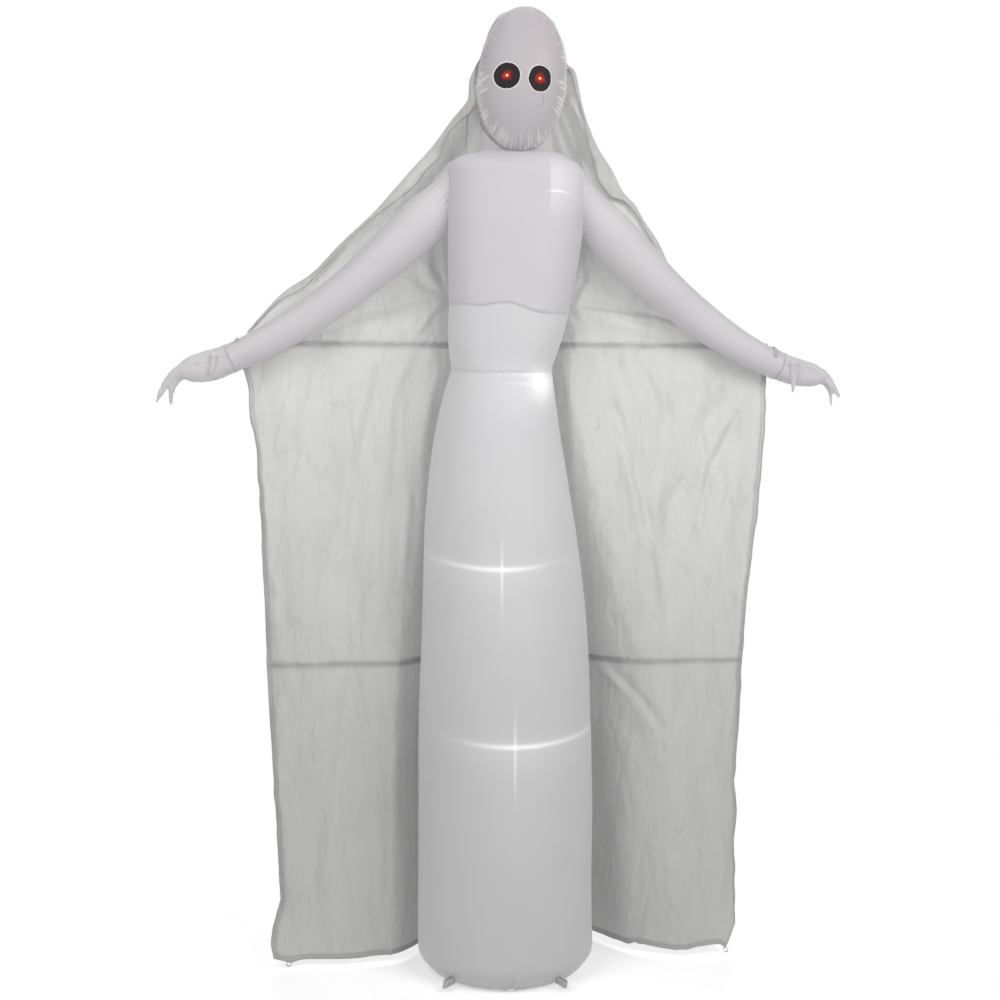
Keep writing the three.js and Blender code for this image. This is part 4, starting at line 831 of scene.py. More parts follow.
def head_pieces():
    dome = np.sin(np.linspace(0, math.pi / 2, 64))
    near = np.concatenate([[0, 0.012, 0.03, 0.055, 0.085, 0.12, 0.16, 0.205], dome[dome > 0.24]])
    for name, depths, node, seed in (
        ("head_face", -(GUSSET + (HEAD_DEEP - GUSSET) * near), "face_panel", 41),
        ("head_rear", GUSSET + (HEAD_DEEP - GUSSET) * near[::2], "head_back", 45),
    ):
        points, angle, past = head_points(depths, HEAD_SIDES)
        x, z = points[..., 0], points[..., 2]
        run = (HEAD_DEEP - GUSSET) * np.arcsin(np.clip(past, 0, 1))
        arc = turned(angle) * HEAD_ARC
        folds = rim_share(angle) * gathers(arc, run, 17, 96, seed)
        small = rim_share(angle) * gathers(arc + 9, run, 8, 44, seed + 3)
        relief = 5.2 * folds + 1.8 * small - 2.5 * bell(run, 5)
        relief += 1.4 * unrest(x, z, 110, 150, seed + 7) * ease(run / 60)
        # The gathers' crests are painted lighter as painted highlights; the seam line itself is darker.
        lit = 2.2 * folds + 1.2 * small + 0.3 * rim_share(angle) * bell(run - 26, 26)
        tone = 0.18 * bell(run, 3) - lit
        if name == "head_face":
            relief -= crease(x, z, DART, 4, 2.4)
            relief += crease(x, z, WIRE, 2.6, 1.6)
            # The lead behind the cloth shows as a painted dark line, its painted shadow, and the dart is
            # painted lighter as a painted highlight.
            tone = tone + 0.75 * stroke(x, z, WIRE, 1.9) - 0.16 * stroke(x, z, DART, 3)
        points = raised(points, relief, -1 if name == "head_face" else 1)
        obj = grid_object(name, head_world(points), closed=True, seam=run - HEAD_STITCH, tone=tone)
        settle(obj, face_skin, node)
    depths = [-55, -53.5, -51, -47, -42, -36, -29, -21, -12, -3, 6, 15, 24, 33, 41, 47, 51, 53.5, 55]
    points, angle, _ = head_points(depths, HEAD_SIDES)
    run = GUSSET - np.abs(points[..., 1])
    arc = turned(angle) * HEAD_ARC
    folds = rim_share(angle) * gathers(arc, run, 17, 60, 41)
    relief = 4.2 * folds - 3 * bell(run, 3) + 2 * unrest(arc, points[..., 1], 60, 80, 57)
    points = head_world(raised(points, relief))
    # The gathers' crests are painted lighter as painted highlights; the seam line is darker.
    tone = 0.18 * bell(run, 3) - 0.5 * folds
    obj = grid_object("head_side", points, closed=True, seam=run - HEAD_STITCH, tone=tone)
    settle(obj, face_skin, "head_gusset")


def eye_outline(name, angle):
    """An eye's outline as a share of its radius: nicked at its darts, and on the right eye flatter."""
    nick = 0.05 * (bell(angle - 1.5, 0.05) + bell(angle - 4.75, 0.06) + 0.5 * bell(angle - 0.12, 0.05))
    if name == "left":
        return 1 - nick
    flat = 0.12 * np.cos(angle) ** 2 + 0.05 * bell(angle - 3.9, 0.4) - 0.03 * bell(angle - 0.75, 0.3)
    return 1 - nick - flat


def eye_piece(name, x):
    """A felted disc sewn on the face, with its pale cut edge and the small nicks of its darts."""
    angle = around(120)[None, :]
    share = np.concatenate([np.linspace(0.085, 0.9, 20), [0.94, 0.97, 0.99, 1.0]])[:, None]

    def place(share):
        radius = EYE_RADIUS * eye_outline(name, angle) * share
        return x + radius * np.cos(angle), EYE_LIFT + radius * np.sin(angle)

    local_x, local_z = place(share)
    puff = 2.2 * (1 - share ** 4) + 0.5 * unrest(local_x, local_z, 14, 14, 61)
    local_y = face_depth(local_x, local_z) - 1.2 - puff
    disc = np.stack([local_x, local_y, local_z], axis=-1)
    edge = EYE_RADIUS * (1 - share) - 3 + 0 * angle
    tone = ease((share - 0.9) / 0.06) + 0 * angle
    obj = grid_object(f"{name}_eye_disc", head_world(disc), closed=True, seam=edge, tone=tone)
    settle(obj, eye_cloth(name, x), f"{name}_eye")
    rim = np.array([0.97, 0.985, 1.0, 1.03, 1.06, 1.08])[:, None]
    local_x, local_z = place(rim)
    lift = np.array([0.4, 2.6, 3.4, 3.2, 2.0, 0.0])[:, None]
    rim = np.stack([local_x, face_depth(local_x, local_z) - lift, local_z], axis=-1)
    obj = grid_object(f"{name}_eye_edge", head_world(rim), closed=True)
    settle(obj, eye_rim)


def eye_cloth(name, x):
    """Black cloth with the lamp's red halo, by distance from the lamp."""
    nodes = Nodes(f"{name}_eye_cloth")
    place = nodes.place()
    fine = nodes.noise(place, 420.0, 3.0)
    base = nodes.blend(nodes.range(fine, 0.3, 0.7), linear(30, 26, 28), linear(52, 44, 46))
    nodes.link(nodes.blend(nodes.attribute("tone"), base, linear(6, 5, 5)), "Base Color")
    lamp = head_frame() @ Vector((x, float(face_depth(np.array(x), np.array(EYE_LIFT))), EYE_LIFT))
    offset = nodes.vector("SUBTRACT", place, tuple(value * MM for value in lamp)).outputs[0]
    blot = nodes.noise(place, 60.0, 2.0)
    away = nodes.vector("LENGTH", offset).outputs["Value"]
    away = nodes.math("ADD", away, nodes.range(blot, 0.2, 0.8, -0.005, 0.005))
    core = nodes.range(away, 0.009, 0.002)
    halo = nodes.range(away, 0.03, 0.005)
    nodes.link(nodes.blend(core, linear(255, 8, 4), linear(255, 130, 30)), "Emission Color")
    spread = nodes.math("MULTIPLY", nodes.math("POWER", halo, 2.2), 0.75)
    nodes.link(nodes.math("ADD", nodes.math("MULTIPLY", core, 1.1), spread), "Emission Strength")
    nodes.link(nodes.bump(fine, 0.0004), "Normal")
    return nodes.set(Roughness=0.85, Sheen_Weight=0.1, Specular_IOR_Level=0.2).owner


# Arms and hands
def arm_piece(name, side):
    middle, end = spaced(0.108, 0.96, 0.0085), spaced(0.965, 1.0, 0.004)
    t = np.concatenate([[-0.08, -0.04], spaced(0, 0.1, 0.006), middle, end])
    angle = around(ARM_SIDES)
    rings = []
    for share in t:
        centre, _, across, up, _ = arm_frame(side, share)
        spoke = np.cos(angle)[:, None] * np.array(across) + np.sin(angle)[:, None] * np.array(up)
        rings.append(np.array(centre) + float(arm_radius(share)) * spoke)
    run = ARM_RUN * t[:, None]
    level = side["sign"] * turned(angle, math.pi if side["sign"] < 0 else 0)[None, :]
    arc = level * ARM_ARC + 0 * run
    seed = 71 if name == "left" else 75
    relief = 6 * gathers(arc, np.abs(run - 8), 24, 120, seed)
    relief = relief + 4 * gathers(arc, ARM_RUN - run, 15, 60, seed + 1)
    relief += 2.0 * unrest(arc, run + 0 * arc, 80, 210, seed + 2) - 3 * bell(run - ARM_RUN, 4)
    points = raised(np.array(rings), relief, side["sign"])
    seam = np.abs(run - ARM_RUN) - SEAM_STITCH + 0 * arc
    # A broad band along each arm's upper front is darkened as painted shade; the armhole seam line is darker
    # too.
    tone = 0.16 * bell(level + 1.1, 0.35) + 0.15 * bell(seam + SEAM_STITCH, 4)
    obj = grid_object(f"{name}_arm_cloth", points, closed=True, flip=side["sign"] > 0, seam=seam, tone=tone)
    settle(obj, arm_skin, f"{name}_arm")


def hand_point(side, place, front=0.0):
    centre, _, _, _, outward = arm_frame(side, 1)
    return np.array(centre + outward * place[0] + Vector((0, -front, place[1])))


def loft(rings):
    """Points and faces of a closed solid through rings of as many points each."""
    sides = len(rings[0])
    points = [p for ring in rings for p in ring]
    faces = []
    for ring in range(len(rings) - 1):
        for i in range(sides):
            a, b = ring * sides + i, ring * sides + (i + 1) % sides
            faces.append((a, b, b + sides, a + sides))
    faces.append(tuple(range(sides))[::-1])
    last = (len(rings) - 1) * sides
    faces.append(tuple(range(last, last + sides)))
    return points, faces


def finger_rings(side, path, front):
    """Rings of a curved, tapering finger with round ends."""
    path = spline(path, FINGER_STEPS)
    centres = np.array([hand_point(side, place[:2], front) for place in path])
    along = np.gradient(centres, axis=0)
    along /= np.linalg.norm(along, axis=1, keepdims=True)
    across = np.array(arm_frame(side, 1)[2])
    angle = around(FINGER_SIDES)[:, None]
    profile = [(0, -math.sin(a), math.cos(a)) for a in FINGER_TIP]
    profile += [(i, 0, 1) for i in range(len(path))]
    profile += [(-1, math.sin(a), math.cos(a)) for a in FINGER_TIP[::-1]]
    rings = []
    for i, past, share in profile:
        radius = path[i, 2]
        spoke = np.cos(angle) * across + np.sin(angle) * np.cross(along[i], across)
        rings.append(centres[i] + along[i] * radius * past + radius * share * spoke)
    return rings


def palm_rings(side):
    """The palm's rings, from inside the cuff to its end."""
    centre, along, across, _, outward = arm_frame(side, 1)
    slope = along.z / math.hypot(along.x, along.y)
    angle = around(PALM_SIDES)[:, None]
    rings = []
    for share in (0.0, 0.04, 0.1, 0.2, 0.32, 0.45, 0.58, 0.7, 0.8, 0.88, 0.94, 0.98, 1.0):
        out = share * PALM_LENGTH
        heading = (outward + Vector((0, 0, slope * (1 - share)))).normalized()
        rise = across.cross(heading)
        middle = centre + outward * out + Vector((0, 0, slope * (out - out * share / 2)))
        swell = float(ease(share / 0.35))
        close = math.sqrt(1 - 0.95 * share ** 3)
        high = mix(ARM_WRIST, PALM_HIGH * side["palm"], swell) * close
        deep = mix(ARM_WRIST, PALM_DEEP, swell) * close
        spoke = deep * np.cos(angle) * np.array(across)
        rings.append(np.array(middle) + spoke + high * np.sin(angle) * np.array(rise))
    return rings


def fused(name, solids, voxel):
    """One smooth skin around overlapping closed solids."""
    points, faces = [], []
    for rings in solids:
        p, f = loft(rings)
        base = len(points)
        points += p
        faces += [tuple(i + base for i in face) for face in f]
    rough = mesh_object(f"{name}_rough", points, faces)
    remesh = rough.modifiers.new("fuse", "REMESH")
    remesh.mode = "VOXEL"
    remesh.voxel_size = voxel * MM
    soften = rough.modifiers.new("soften", "SMOOTH")
    soften.factor, soften.iterations = 0.5, 5
    graph = bpy.context.evaluated_depsgraph_get()
    mesh = bpy.data.meshes.new_from_object(rough.evaluated_get(graph))
    bpy.data.objects.remove(rough)
    mesh.name = name
    return mesh


PALM_LINES = {
    "left": ([(66, -15), (100, -24), (131, -24), (168, -34)], [(6, 5), (38, 0)], [(62, 44), (50, 19)]),
    "right": ([(70, -10), (110, -10), (150, -20), (170, -35)], [(8, -3), (38, 3)], [(60, 40), (50, 18)]),
}


def hand_piece(name, side):
    solids = [palm_rings(side)]
    solids += [finger_rings(side, path, front) for path, front in zip(side["fingers"], (5, -5))]
    mesh = fused(f"{name}_hand_cloth", solids, 4.2)
    dress_hand(mesh, name, side, hand_point(side, (0, 0)), np.array(arm_frame(side, 1)[1]), 81)
    obj = new_object(f"{name}_hand_cloth", mesh)
    settle(obj, arm_skin, f"{name}_hand")
    mesh = fused(f"{name}_thumb_cloth", [finger_rings(side, side["thumb"], PALM_DEEP)], 3)
    start, end = (hand_point(side, side["thumb"][i][:2], PALM_DEEP) for i in (0, -1))
    dress_hand(mesh, name, side, start, (end - start) / np.linalg.norm(end - start), 91, 0.4)
    obj = new_object(f"{name}_thumb_cloth", mesh)
    settle(obj, arm_skin, f"{name}_thumb")


def dress_hand(mesh, name, side, origin, along, seed, size=1.0):
    """Puckers at a cuff, seams and soft unrest over a fused skin, with its flat map and attributes."""
    count = len(mesh.vertices)
    co, no = np.zeros(count * 3), np.zeros(count * 3)
    mesh.vertices.foreach_get("co", co)
    mesh.vertices.foreach_get("normal", no)
    co, no = co.reshape(-1, 3) / MM, no.reshape(-1, 3)
    centre, _, across, _, outward = (np.array(v) for v in arm_frame(side, 1))
    depth = (co - origin) @ across
    run = (co - origin) @ along
    height = (co - origin) @ np.cross(along, across)
    arc = turned(np.arctan2(height, -side["sign"] * depth), math.pi) * WRIST_ARC
    out, rise = (co - centre) @ outward, co[:, 2] - centre[2]
    relief = size * (4.0 * gathers(arc, np.abs(run), 15, 46, seed) + 1.6 * unrest(run, arc, 34, 34, seed + 1))
    relief += size * (0.9 * unrest(run, height, 14, 40, seed + 2) - 2.2 * bell(depth, 4) * (run > 25))
    tone = 0.2 * bell(depth, 3) * (run > 25) + 0.2 * bell(run, 5)
    if size == 1.0:
        # The palm's creases are also darkened along their lines as painted shade.
        for line in PALM_LINES[name]:
            relief -= crease(out, rise, line, 4, 3)
            tone = tone + 0.3 * stroke(out, rise, line, 3)
    co = co + no * relief[:, None]
    mesh.vertices.foreach_set("co", (co * MM).reshape(-1))
    set_flat_map(mesh, np.stack([run, height], axis=-1)[corner_points(mesh)] * MM)
    set_attribute(mesh, "seam", (run - SEAM_STITCH) * MM)
    set_attribute(mesh, "tone", tone)
    smooth(mesh)


# Cape: folds as places on the front view with their widths and depths
CREASES = [
    ([(-467, 2350), (-509, 2137), (-550, 1956), (-569, 1625), (-581, 1375)], 34, 16),
    ([(-321, 2370), (-387, 2215), (-410, 2048), (-429, 1901)], 22, 15),
    ([(-252, 2297), (-310, 2018), (-324, 1686), (-372, 1211)], 20, -12),
    ([(-371, 1843), (-394, 1449)], 16, -6),
    ([(-515, 1648), (-530, 1491), (-596, 1286)], 26, 9),
    ([(-615, 2163), (-665, 1925), (-742, 1611), (-782, 1246)], 60, -10),
    ([(-596, 1083), (-639, 778), (-713, 545), (-737, 253)], 34, 9),
    ([(-430, 1049), (-422, 539), (-438, 184)], 34, -9),
    ([(-386, 1082), (-393, 687), (-416, 122)], 24, 11),
    ([(-518, 300), (-473, 107)], 20, 7),
    ([(-680, 1016), (-783, 635), (-811, 333)], 40, -6),
    ([(242, 2356), (254, 2111), (272, 1782), (295, 1514), (312, 1212)], 18, -11),
    ([(432, 2364), (464, 2243), (522, 2053), (514, 1881), (549, 1734), (596, 1554), (643, 1242)], 20, 15),
    ([(362, 2302), (394, 2193), (448, 2088), (491, 1948), (514, 1854)], 20, 9),
    ([(547, 2350), (591, 2245), (623, 2171), (659, 2045)], 16, 9),
    ([(1030, 2275), (943, 2137), (874, 2030), (808, 1912), (764, 1701), (706, 1536)], 15, 13),
    ([(935, 2294), (875, 2203), (772, 2069), (725, 1865), (642, 1764), (616, 1503)], 30, 13),
    ([(690, 2233), (659, 2045), (589, 1733), (572, 1543)], 24, -10),
    ([(986, 2227), (943, 2089), (902, 1782), (822, 1412)], 34, -9),
    ([(331, 2359), (323, 2274)], 12, 7),
    ([(764, 1383), (725, 1208)], 22, 6),
    ([(354, 1130), (410, 1082), (470, 1025)], 12, -9),
    ([(406, 1137), (526, 1009), (630, 868)], 18, 12),
    ([(683, 1113), (687, 996), (665, 863)], 26, 7),
    ([(377, 981), (527, 841), (584, 610), (565, 451)], 40, 8),
    ([(618, 514), (680, 472), (749, 560)], 10, 6),
    ([(634, 203), (684, 127), (711, 54)], 9, 6),
    ([(660, 418), (719, 370)], 9, 4),
    ([(634, 339), (649, 184)], 14, -5),
    ([(254, 2505), (323, 2421)], 12, 12),
    ([(273, 2543), (432, 2520), (595, 2499), (765, 2442)], 12, 13),
    ([(261, 2520), (432, 2469), (725, 2402)], 26, -9),
    ([(262, 2556), (307, 2627), (294, 2791), (283, 2864)], 12, 12),
    ([(283, 2864), (338, 2748), (370, 2671)], 8, 8),
    ([(221, 3282), (260, 3213), (308, 3123), (350, 3016)], 9, 14),
    ([(232, 3342), (289, 3243), (322, 3164), (377, 3059)], 14, -12),
    ([(207, 3236), (240, 3163), (264, 3111)], 12, 8),
    ([(-214, 2553), (-290, 2455), (-344, 2385)], 12, 14),
    ([(-225, 2555), (-267, 2475), (-317, 2385)], 7, -8),
    ([(-225, 2555), (-406, 2512), (-596, 2471), (-749, 2401)], 16, 12),
    ([(-229, 2567), (-375, 2647), (-405, 2697)], 12, 11),
    ([(-229, 2547), (-406, 2435), (-634, 2390)], 26, -9),
    ([(-225, 2563), (-260, 2669), (-275, 2746), (-252, 2818)], 13, 12),
    ([(-237, 2585), (-298, 2676), (-336, 2714)], 14, -8),
    ([(-150, 3190), (-230, 3080), (-320, 2960), (-430, 2840)], 38, 26),
    # Seen from behind
    ([(40, 3300), (-60, 3000), (-130, 2400), (-150, 1300), (-190, 60)], 30, 16),
    ([(80, 3300), (150, 2950), (180, 2300), (170, 1200), (230, 60)], 34, 16),
    ([(60, 3250), (30, 2700), (20, 1800), (30, 500)], 40, -14),
    ([(-40, 3330), (-150, 3120), (-260, 2900)], 22, -12),
    ([(150, 3330), (230, 3120), (330, 2880)], 24, -10),
]
# Painted shade on the cape above 0 and painted light below 0, with their widths
SHADES = [
    # Inside the hood and along its left edge
    ([(-119, 3249), (-161, 3172), (-223, 3095), (-273, 3045), (-331, 2980)], 27, 0.75),
    ([(-581, 2787), (-627, 2733), (-689, 2679), (-762, 2633)], 10, 0.6),
    ([(-258, 3026), (-335, 2968), (-419, 2903), (-519, 2822), (-581, 2776)], 5, 0.35),
    ([(-127, 3426), (-84, 3499), (-69, 3542), (-38, 3595), (-7, 3634)], 5, 0.5),
    ([(-115, 3441), (-111, 3338), (-104, 3234)], 5, 0.5),
    ([(-127, 3418), (-131, 3349), (-127, 3280)], 8, -0.6),
    ([(-981, 2429), (-827, 2548), (-673, 2637), (-589, 2702), (-550, 2741)], 14, -0.7),
    ([(-962, 2471), (-885, 2548), (-789, 2606)], 12, -0.4),
    ([(-104, 3187), (-134, 3141), (-165, 3110)], 15, -0.35),
    # Between the left arm and the chest
    ([(-238, 2833), (-246, 2760), (-242, 2579)], 8, -0.6),
    ([(-285, 2764), (-288, 2695), (-262, 2591)], 12, 0.5),
    ([(-342, 2702), (-312, 2637), (-273, 2579)], 21, -0.75),
    ([(-373, 2641), (-323, 2595), (-262, 2556)], 7, 0.45),
    ([(-635, 2460), (-481, 2498), (-365, 2529), (-265, 2548)], 9, 0.35),
    ([(-223, 2537), (-273, 2471), (-319, 2394), (-365, 2294), (-392, 2210)], 12, 0.35),
    ([(-219, 2518), (-235, 2375), (-258, 2156)], 10, -0.45),
    ([(-458, 2348), (-489, 2256), (-519, 2156)], 15, 0.2),
    ([(-789, 2356), (-827, 2240), (-820, 2086)], 27, -0.25),
    ([(-673, 2421), (-519, 2448), (-327, 2464)], 23, -0.3),
    # The right side of the hood
    ([(185, 3195), (216, 3130), (250, 3076)], 14, 0.55),
    ([(200, 3241), (258, 3110), (327, 3018)], 14, -0.6),
    ([(231, 3272), (285, 3157), (324, 3064)], 5, 0.45),
    ([(327, 3141), (358, 3068), (408, 2987), (451, 2933)], 29, 0.5),
    ([(220, 3488), (274, 3403), (293, 3303), (320, 3210)], 8, 0.5),
    ([(235, 3441), (274, 3318), (300, 3164)], 14, -0.55),
    ([(247, 3364), (270, 3264), (327, 3134)], 5, 0.4),
    ([(428, 2926), (474, 2910), (512, 2849), (555, 2772), (601, 2691), (643, 2637)], 11, -0.8),
    ([(439, 2937), (478, 2922), (508, 2876)], 4, 0.5),
    # Between the right arm and the chest
    ([(270, 2579), (300, 2656), (324, 2725)], 11, -0.5),
    ([(293, 2818), (327, 2745), (354, 2652)], 7, 0.45),
    ([(258, 2521), (327, 2525), (443, 2502), (597, 2479)], 5, 0.5),
    ([(254, 2487), (297, 2433), (327, 2398)], 6, 0.45),
    ([(270, 2572), (293, 2610), (320, 2633)], 7, 0.4),
    ([(512, 2341), (566, 2256), (612, 2156)], 15, 0.25),
    ([(374, 2348), (412, 2163)], 19, -0.25),
    ([(920, 2294), (889, 2225), (855, 2156)], 4, 0.35),
    ([(366, 2479), (520, 2448), (712, 2425)], 15, -0.25),
]
# Places of the cape's free edges, by height
EDGE_LEFT = [(3000, -985), (2423, -985), (2330, -1002), (2283, -1000), (2262, -992), (2224, -983),
             (2184, -978), (2145, -976), (2090, -973), (1971, -951), (1551, -928), (1247, -919), (868, -894),
             (437, -866), (253, -857), (155, -885), (95, -889), (0, -868)]
EDGE_RIGHT = [(3000, 1040), (2380, 1040), (2270, 1030), (2070, 1027), (1699, 994), (1451, 961), (1156, 934),
              (873, 919), (675, 902), (554, 912), (437, 902), (136, 906), (0, 900)]
# How wide the cape's free edges curl, by height
CURL_LEFT = [(3000, 2), (2162, 4), (1925, 14), (1455, 38), (1188, 66), (1017, 50), (752, 28), (627, 22),
             (354, 46), (0, 100)]
CURL_RIGHT = [(3000, 4), (2000, 9), (1300, 16), (1000, 34), (640, 62), (450, 58), (136, 66), (0, 60)]
# The hem's height at places across the cape
HEM_HEIGHTS = [(-900, 52), (-860, 38), (-820, 25), (-780, 30), (-560, 30), (503, 31), (540, 37), (646, 29),
               (707, 32), (746, 42), (840, 44), (863, 26), (880, 64), (906, 120)]


def follow(pairs, at):
    """A value that follows from a place, between the given pairs."""
    places, values = zip(*sorted(pairs))
    return np.interp(at, places, values)


def cape_edge(z, left):
    pairs = EDGE_LEFT if left else EDGE_RIGHT
    return follow(pairs, z) + 2.5 * unrest(z, 0 * z, 55, 55, 101 if left else 102)


def cape_across(z, share):
    """The place across the cape at a share of its width."""
    return mix(cape_edge(z, True), cape_edge(z, False), share)


def cape_face(x, z):
    """The cape's face with all its folds, crinkles and curled edges."""
    y = cape_depth(x, z)
    for path, width, depth in CREASES:
        y = y + crease(x, z, path, width, depth)
    lean = x + 0.25 * z
    y = y + 3.0 * unrest(lean, z, 70, 260, 111) + 1.6 * unrest(lean, z, 34, 120, 112)
    y = y + 0.9 * unrest(x - 0.6 * z, z, 17, 60, 113)
    for seam in (LOWER_SEAM, UPPER_SEAM):
        below = seam - z
        y = y + 2.6 * unrest(x, below, 26, 150, 114) * bell(below - 25, 60) * (below > -6)
    for left, curl in ((True, CURL_LEFT), (False, CURL_RIGHT)):
        inward = (x - cape_edge(z, left)) * (1 if left else -1)
        width = np.maximum(follow(curl, z) * (1 + 0.35 * unrest(z, 0 * z, 90, 90, 115)), 3)
        hanging = (z < UPPER_SEAM + 60) * ease(z / 220)
        back = clamp((width - inward) / width) ** 1.4
        y = y + hanging * (0.75 * np.minimum(width, 60) * back - 4 * bell(inward - width, 0.35 * width + 4))
    return y


def hem_height(x):
    """Height of the cape's lower edge, with its lifted right corner and its notches."""
    notches = 9 * bell(x - 508, 12) - 3 * bell(x - 480, 20)
    return follow(HEM_HEIGHTS, x) + notches + 1.2 * unrest(x, 0 * x, 30, 30, 121)


def spline(points, count):
    """Evenly spaced places along a smooth curve through points."""
    p = np.array([points[0], *points, points[-1]], float)
    places = []
    for i in range(1, len(p) - 2):
        t = np.linspace(0, 1, 40, endpoint=False)[:, None]
        a, b, c, d = p[i - 1], p[i], p[i + 1], p[i + 2]
        square, cube = 2 * a - 5 * b + 4 * c - d, 3 * b - a - 3 * c + d
        places.append(0.5 * (2 * b + (c - a) * t + square * t ** 2 + cube * t ** 3))
    places = np.concatenate([*places, p[-1:]])
    run = np.concatenate([[0], np.cumsum(np.linalg.norm(np.diff(places, axis=0), axis=1))])
    at = np.linspace(0, run[-1], count) if np.isscalar(count) else np.asarray(count) * run[-1]
    return np.stack([np.interp(at, run, places[:, k]) for k in range(places.shape[1])], axis=-1)


# The upper tier's top edge, over the left arm, the crown and the right shoulder
OUTLINE_LEFT = [(-985, 2423), (-922, 2496), (-843, 2578), (-761, 2635), (-714, 2675), (-626, 2771),
                (-495, 2901), (-378, 3035), (-267, 3163), (-208, 3238), (-159, 3293), (-134, 3338),
                (-137, 3389), (-114, 3446)]
OUTLINE_TOP = [(-92, 3490), (-77, 3519), (-72, 3553), (-60, 3588), (-38, 3620), (-14, 3642), (26, 3651),
               (100, 3648), (160, 3632), (190, 3612), (202, 3588), (217, 3558), (220, 3519)]
OUTLINE_RIGHT = [(227, 3475), (246, 3450), (272, 3418), (299, 3289), (336, 3192), (369, 3131), (418, 3058),
                 (458, 2980), (507, 2927), (540, 2871), (603, 2777), (656, 2657)]


def right_arm_edge():
    side = SIDES["right"]
    reach = side["reach"] * math.cos(math.radians(side["yaw"]))
    end = (1036 - arm_root(side)) / reach
    shares = np.linspace(0.52, end, 6)
    places = [(arm_root(side) + share * reach, arm_share_height(side, share)) for share in shares]
    return [(float(x), float(z)) for x, z in places]


def arm_share_height(side, share):
    """Height of the arm's top over a place that lies at a share of its level length."""
    t = np.linspace(0, 1, 200)
    at = float(np.interp(share * side["reach"], arm_out(side, t), t))
    centre, _, _, up, _ = arm_frame(side, at)
    return centre.z + float(arm_radius(at)) / max(up.z, 0.5) + 7


# Shares of the cape's width, closer beside its edges
CAPE_WIDTH = 1900
NEAR_EDGE = np.array([0, 4, 8, 12, 16, 19, 21, 24, 29, 36, 45, 55, 66]) / CAPE_WIDTH
BETWEEN_EDGES = np.linspace(78 / CAPE_WIDTH, 1 - 78 / CAPE_WIDTH, 228)
COLUMNS = np.concatenate([NEAR_EDGE, BETWEEN_EDGES, 1 - NEAR_EDGE[::-1]])


def upper_places():
    top = spline([*OUTLINE_LEFT, *OUTLINE_TOP, *OUTLINE_RIGHT, *right_arm_edge()], COLUMNS)
    bottom_z = np.full(len(COLUMNS), float(UPPER_SEAM))
    bottom_x = cape_across(bottom_z, COLUMNS)
    span = 900
    near_top = np.array([0, 4, 8, 12, 16, 19, 21, 24, 30, 38]) / span
    near_low = 1 - np.array([34, 27, 21, 16, 12, 9, 6, 3, 0]) / span
    share = np.concatenate([near_top, np.linspace(48 / span, 1 - 44 / span, 104), near_low])[:, None]
    return mix(top[:, 0], bottom_x, share), mix(top[:, 1], bottom_z, share)


def tier_places(high, low):
    """Places of a tier from its upper seam to its lower one; low may follow from the column."""
    span = 1200
    near = np.array([0, 3, 6, 9, 12, 16, 21, 27, 34]) / span
    share = np.concatenate([near, np.linspace(44 / span, 1 - 44 / span, 130), 1 - near[::-1]])[:, None]
    z = mix(high, low + 0 * COLUMNS, share)
    return cape_across(z, COLUMNS), z


def folded_hem(x, z, off, axis, first):
    """Adds the turned-back hem before the first or after the last row or column."""

    def take(grid, index):
        return np.take(grid, [index], axis=axis)

    edge, inner = (0, 6) if first else (-1, -7)
    dx, dz = take(x, inner) - take(x, edge), take(z, inner) - take(z, edge)
    length = np.maximum(np.hypot(dx, dz), 1e-6)
    dx, dz = dx / length, dz / length
    steps = (HEM_STEPS if first else HEM_STEPS[::-1]).reshape((-1, 1) if axis == 0 else (1, -1))
    hem_x = take(x, edge) + dx * steps
    hem_z = take(z, edge) + dz * steps
    hem_off = take(off, edge) + 2.6 * np.minimum(steps / 3, 1)
    parts = [(hem_x, x), (hem_z, z), (hem_off, off)]
    return [np.concatenate(pair if first else pair[::-1], axis=axis) for pair in parts]


def cape_shade(x, z):
    """Painted shade and painted light on the cape: the SHADES marks, and the cape above about 2.85 m painted
    lighter, as if its thin hood were lit from behind.
    """
    marks = sum(strength * stroke(x, z, path, width) for path, width, strength in SHADES)
    return 0.45 * marks - 0.22 * ease((z - 2850) / 250)


def cape_tier(name, x, z, hems, seams, node):
    off = np.zeros_like(x)
    distance = edge_distance(x, z, hems)
    # Darker seam lines, with the painted shade and painted light over them.
    tone = band_tone(x, z, seams) + cape_shade(x, z)
    for axis, first in hems:
        x, z, off = folded_hem(x, z, off, axis, first)
    pads = [[0, 0], [0, 0]]
    for axis, first in hems:
        pads[axis][0 if first else 1] += len(HEM_STEPS)
    distance = np.pad(distance, pads, constant_values=FAR_FROM_STITCH)
    tone = np.pad(tone, pads, mode="edge")
    points = np.stack([x, cape_face(x, z) + off, z], axis=-1)
    obj = grid_object(name, points, flip=True, seam=distance, tone=tone)
    settle(obj, cape_cloth, node)
    return obj


def edge_distance(x, z, hems):
    """Distance of each place from the stitch line that runs inside its hems."""
    away = np.full(x.shape, FAR_FROM_STITCH)
    for axis, first in hems:
        edge = 0 if first else -1
        ex, ez = np.take(x, [edge], axis=axis), np.take(z, [edge], axis=axis)
        away = np.minimum(away, np.abs(np.hypot(x - ex, z - ez) - HEM_STITCH))
    return away


def band_tone(x, z, seams):
    """Where the seam allowance behind shows through as a darker line, narrower over the arms' ends."""
    tone = np.zeros(x.shape)
    for seam in seams:
        wander = 4 * unrest(x, 0 * x, 90, 120, 131) + 2 * unrest(x, 0 * x, 30, 40, 134)
        pinch = 0.55 * bell(x + 500, 60) + 0.5 * bell(x - 485, 24) if seam == UPPER_SEAM else 0
        width = (7 + 2 * unrest(x, 0 * x, 70, 70, 132)) * (1 - pinch)
        depth = 0.2 + 0.1 * unrest(x, 0 * x, 60, 60, 135)
        tone = np.maximum(tone, depth * ease((width - np.abs(z - seam - wander)) / 4 + 0.5))
    return tone


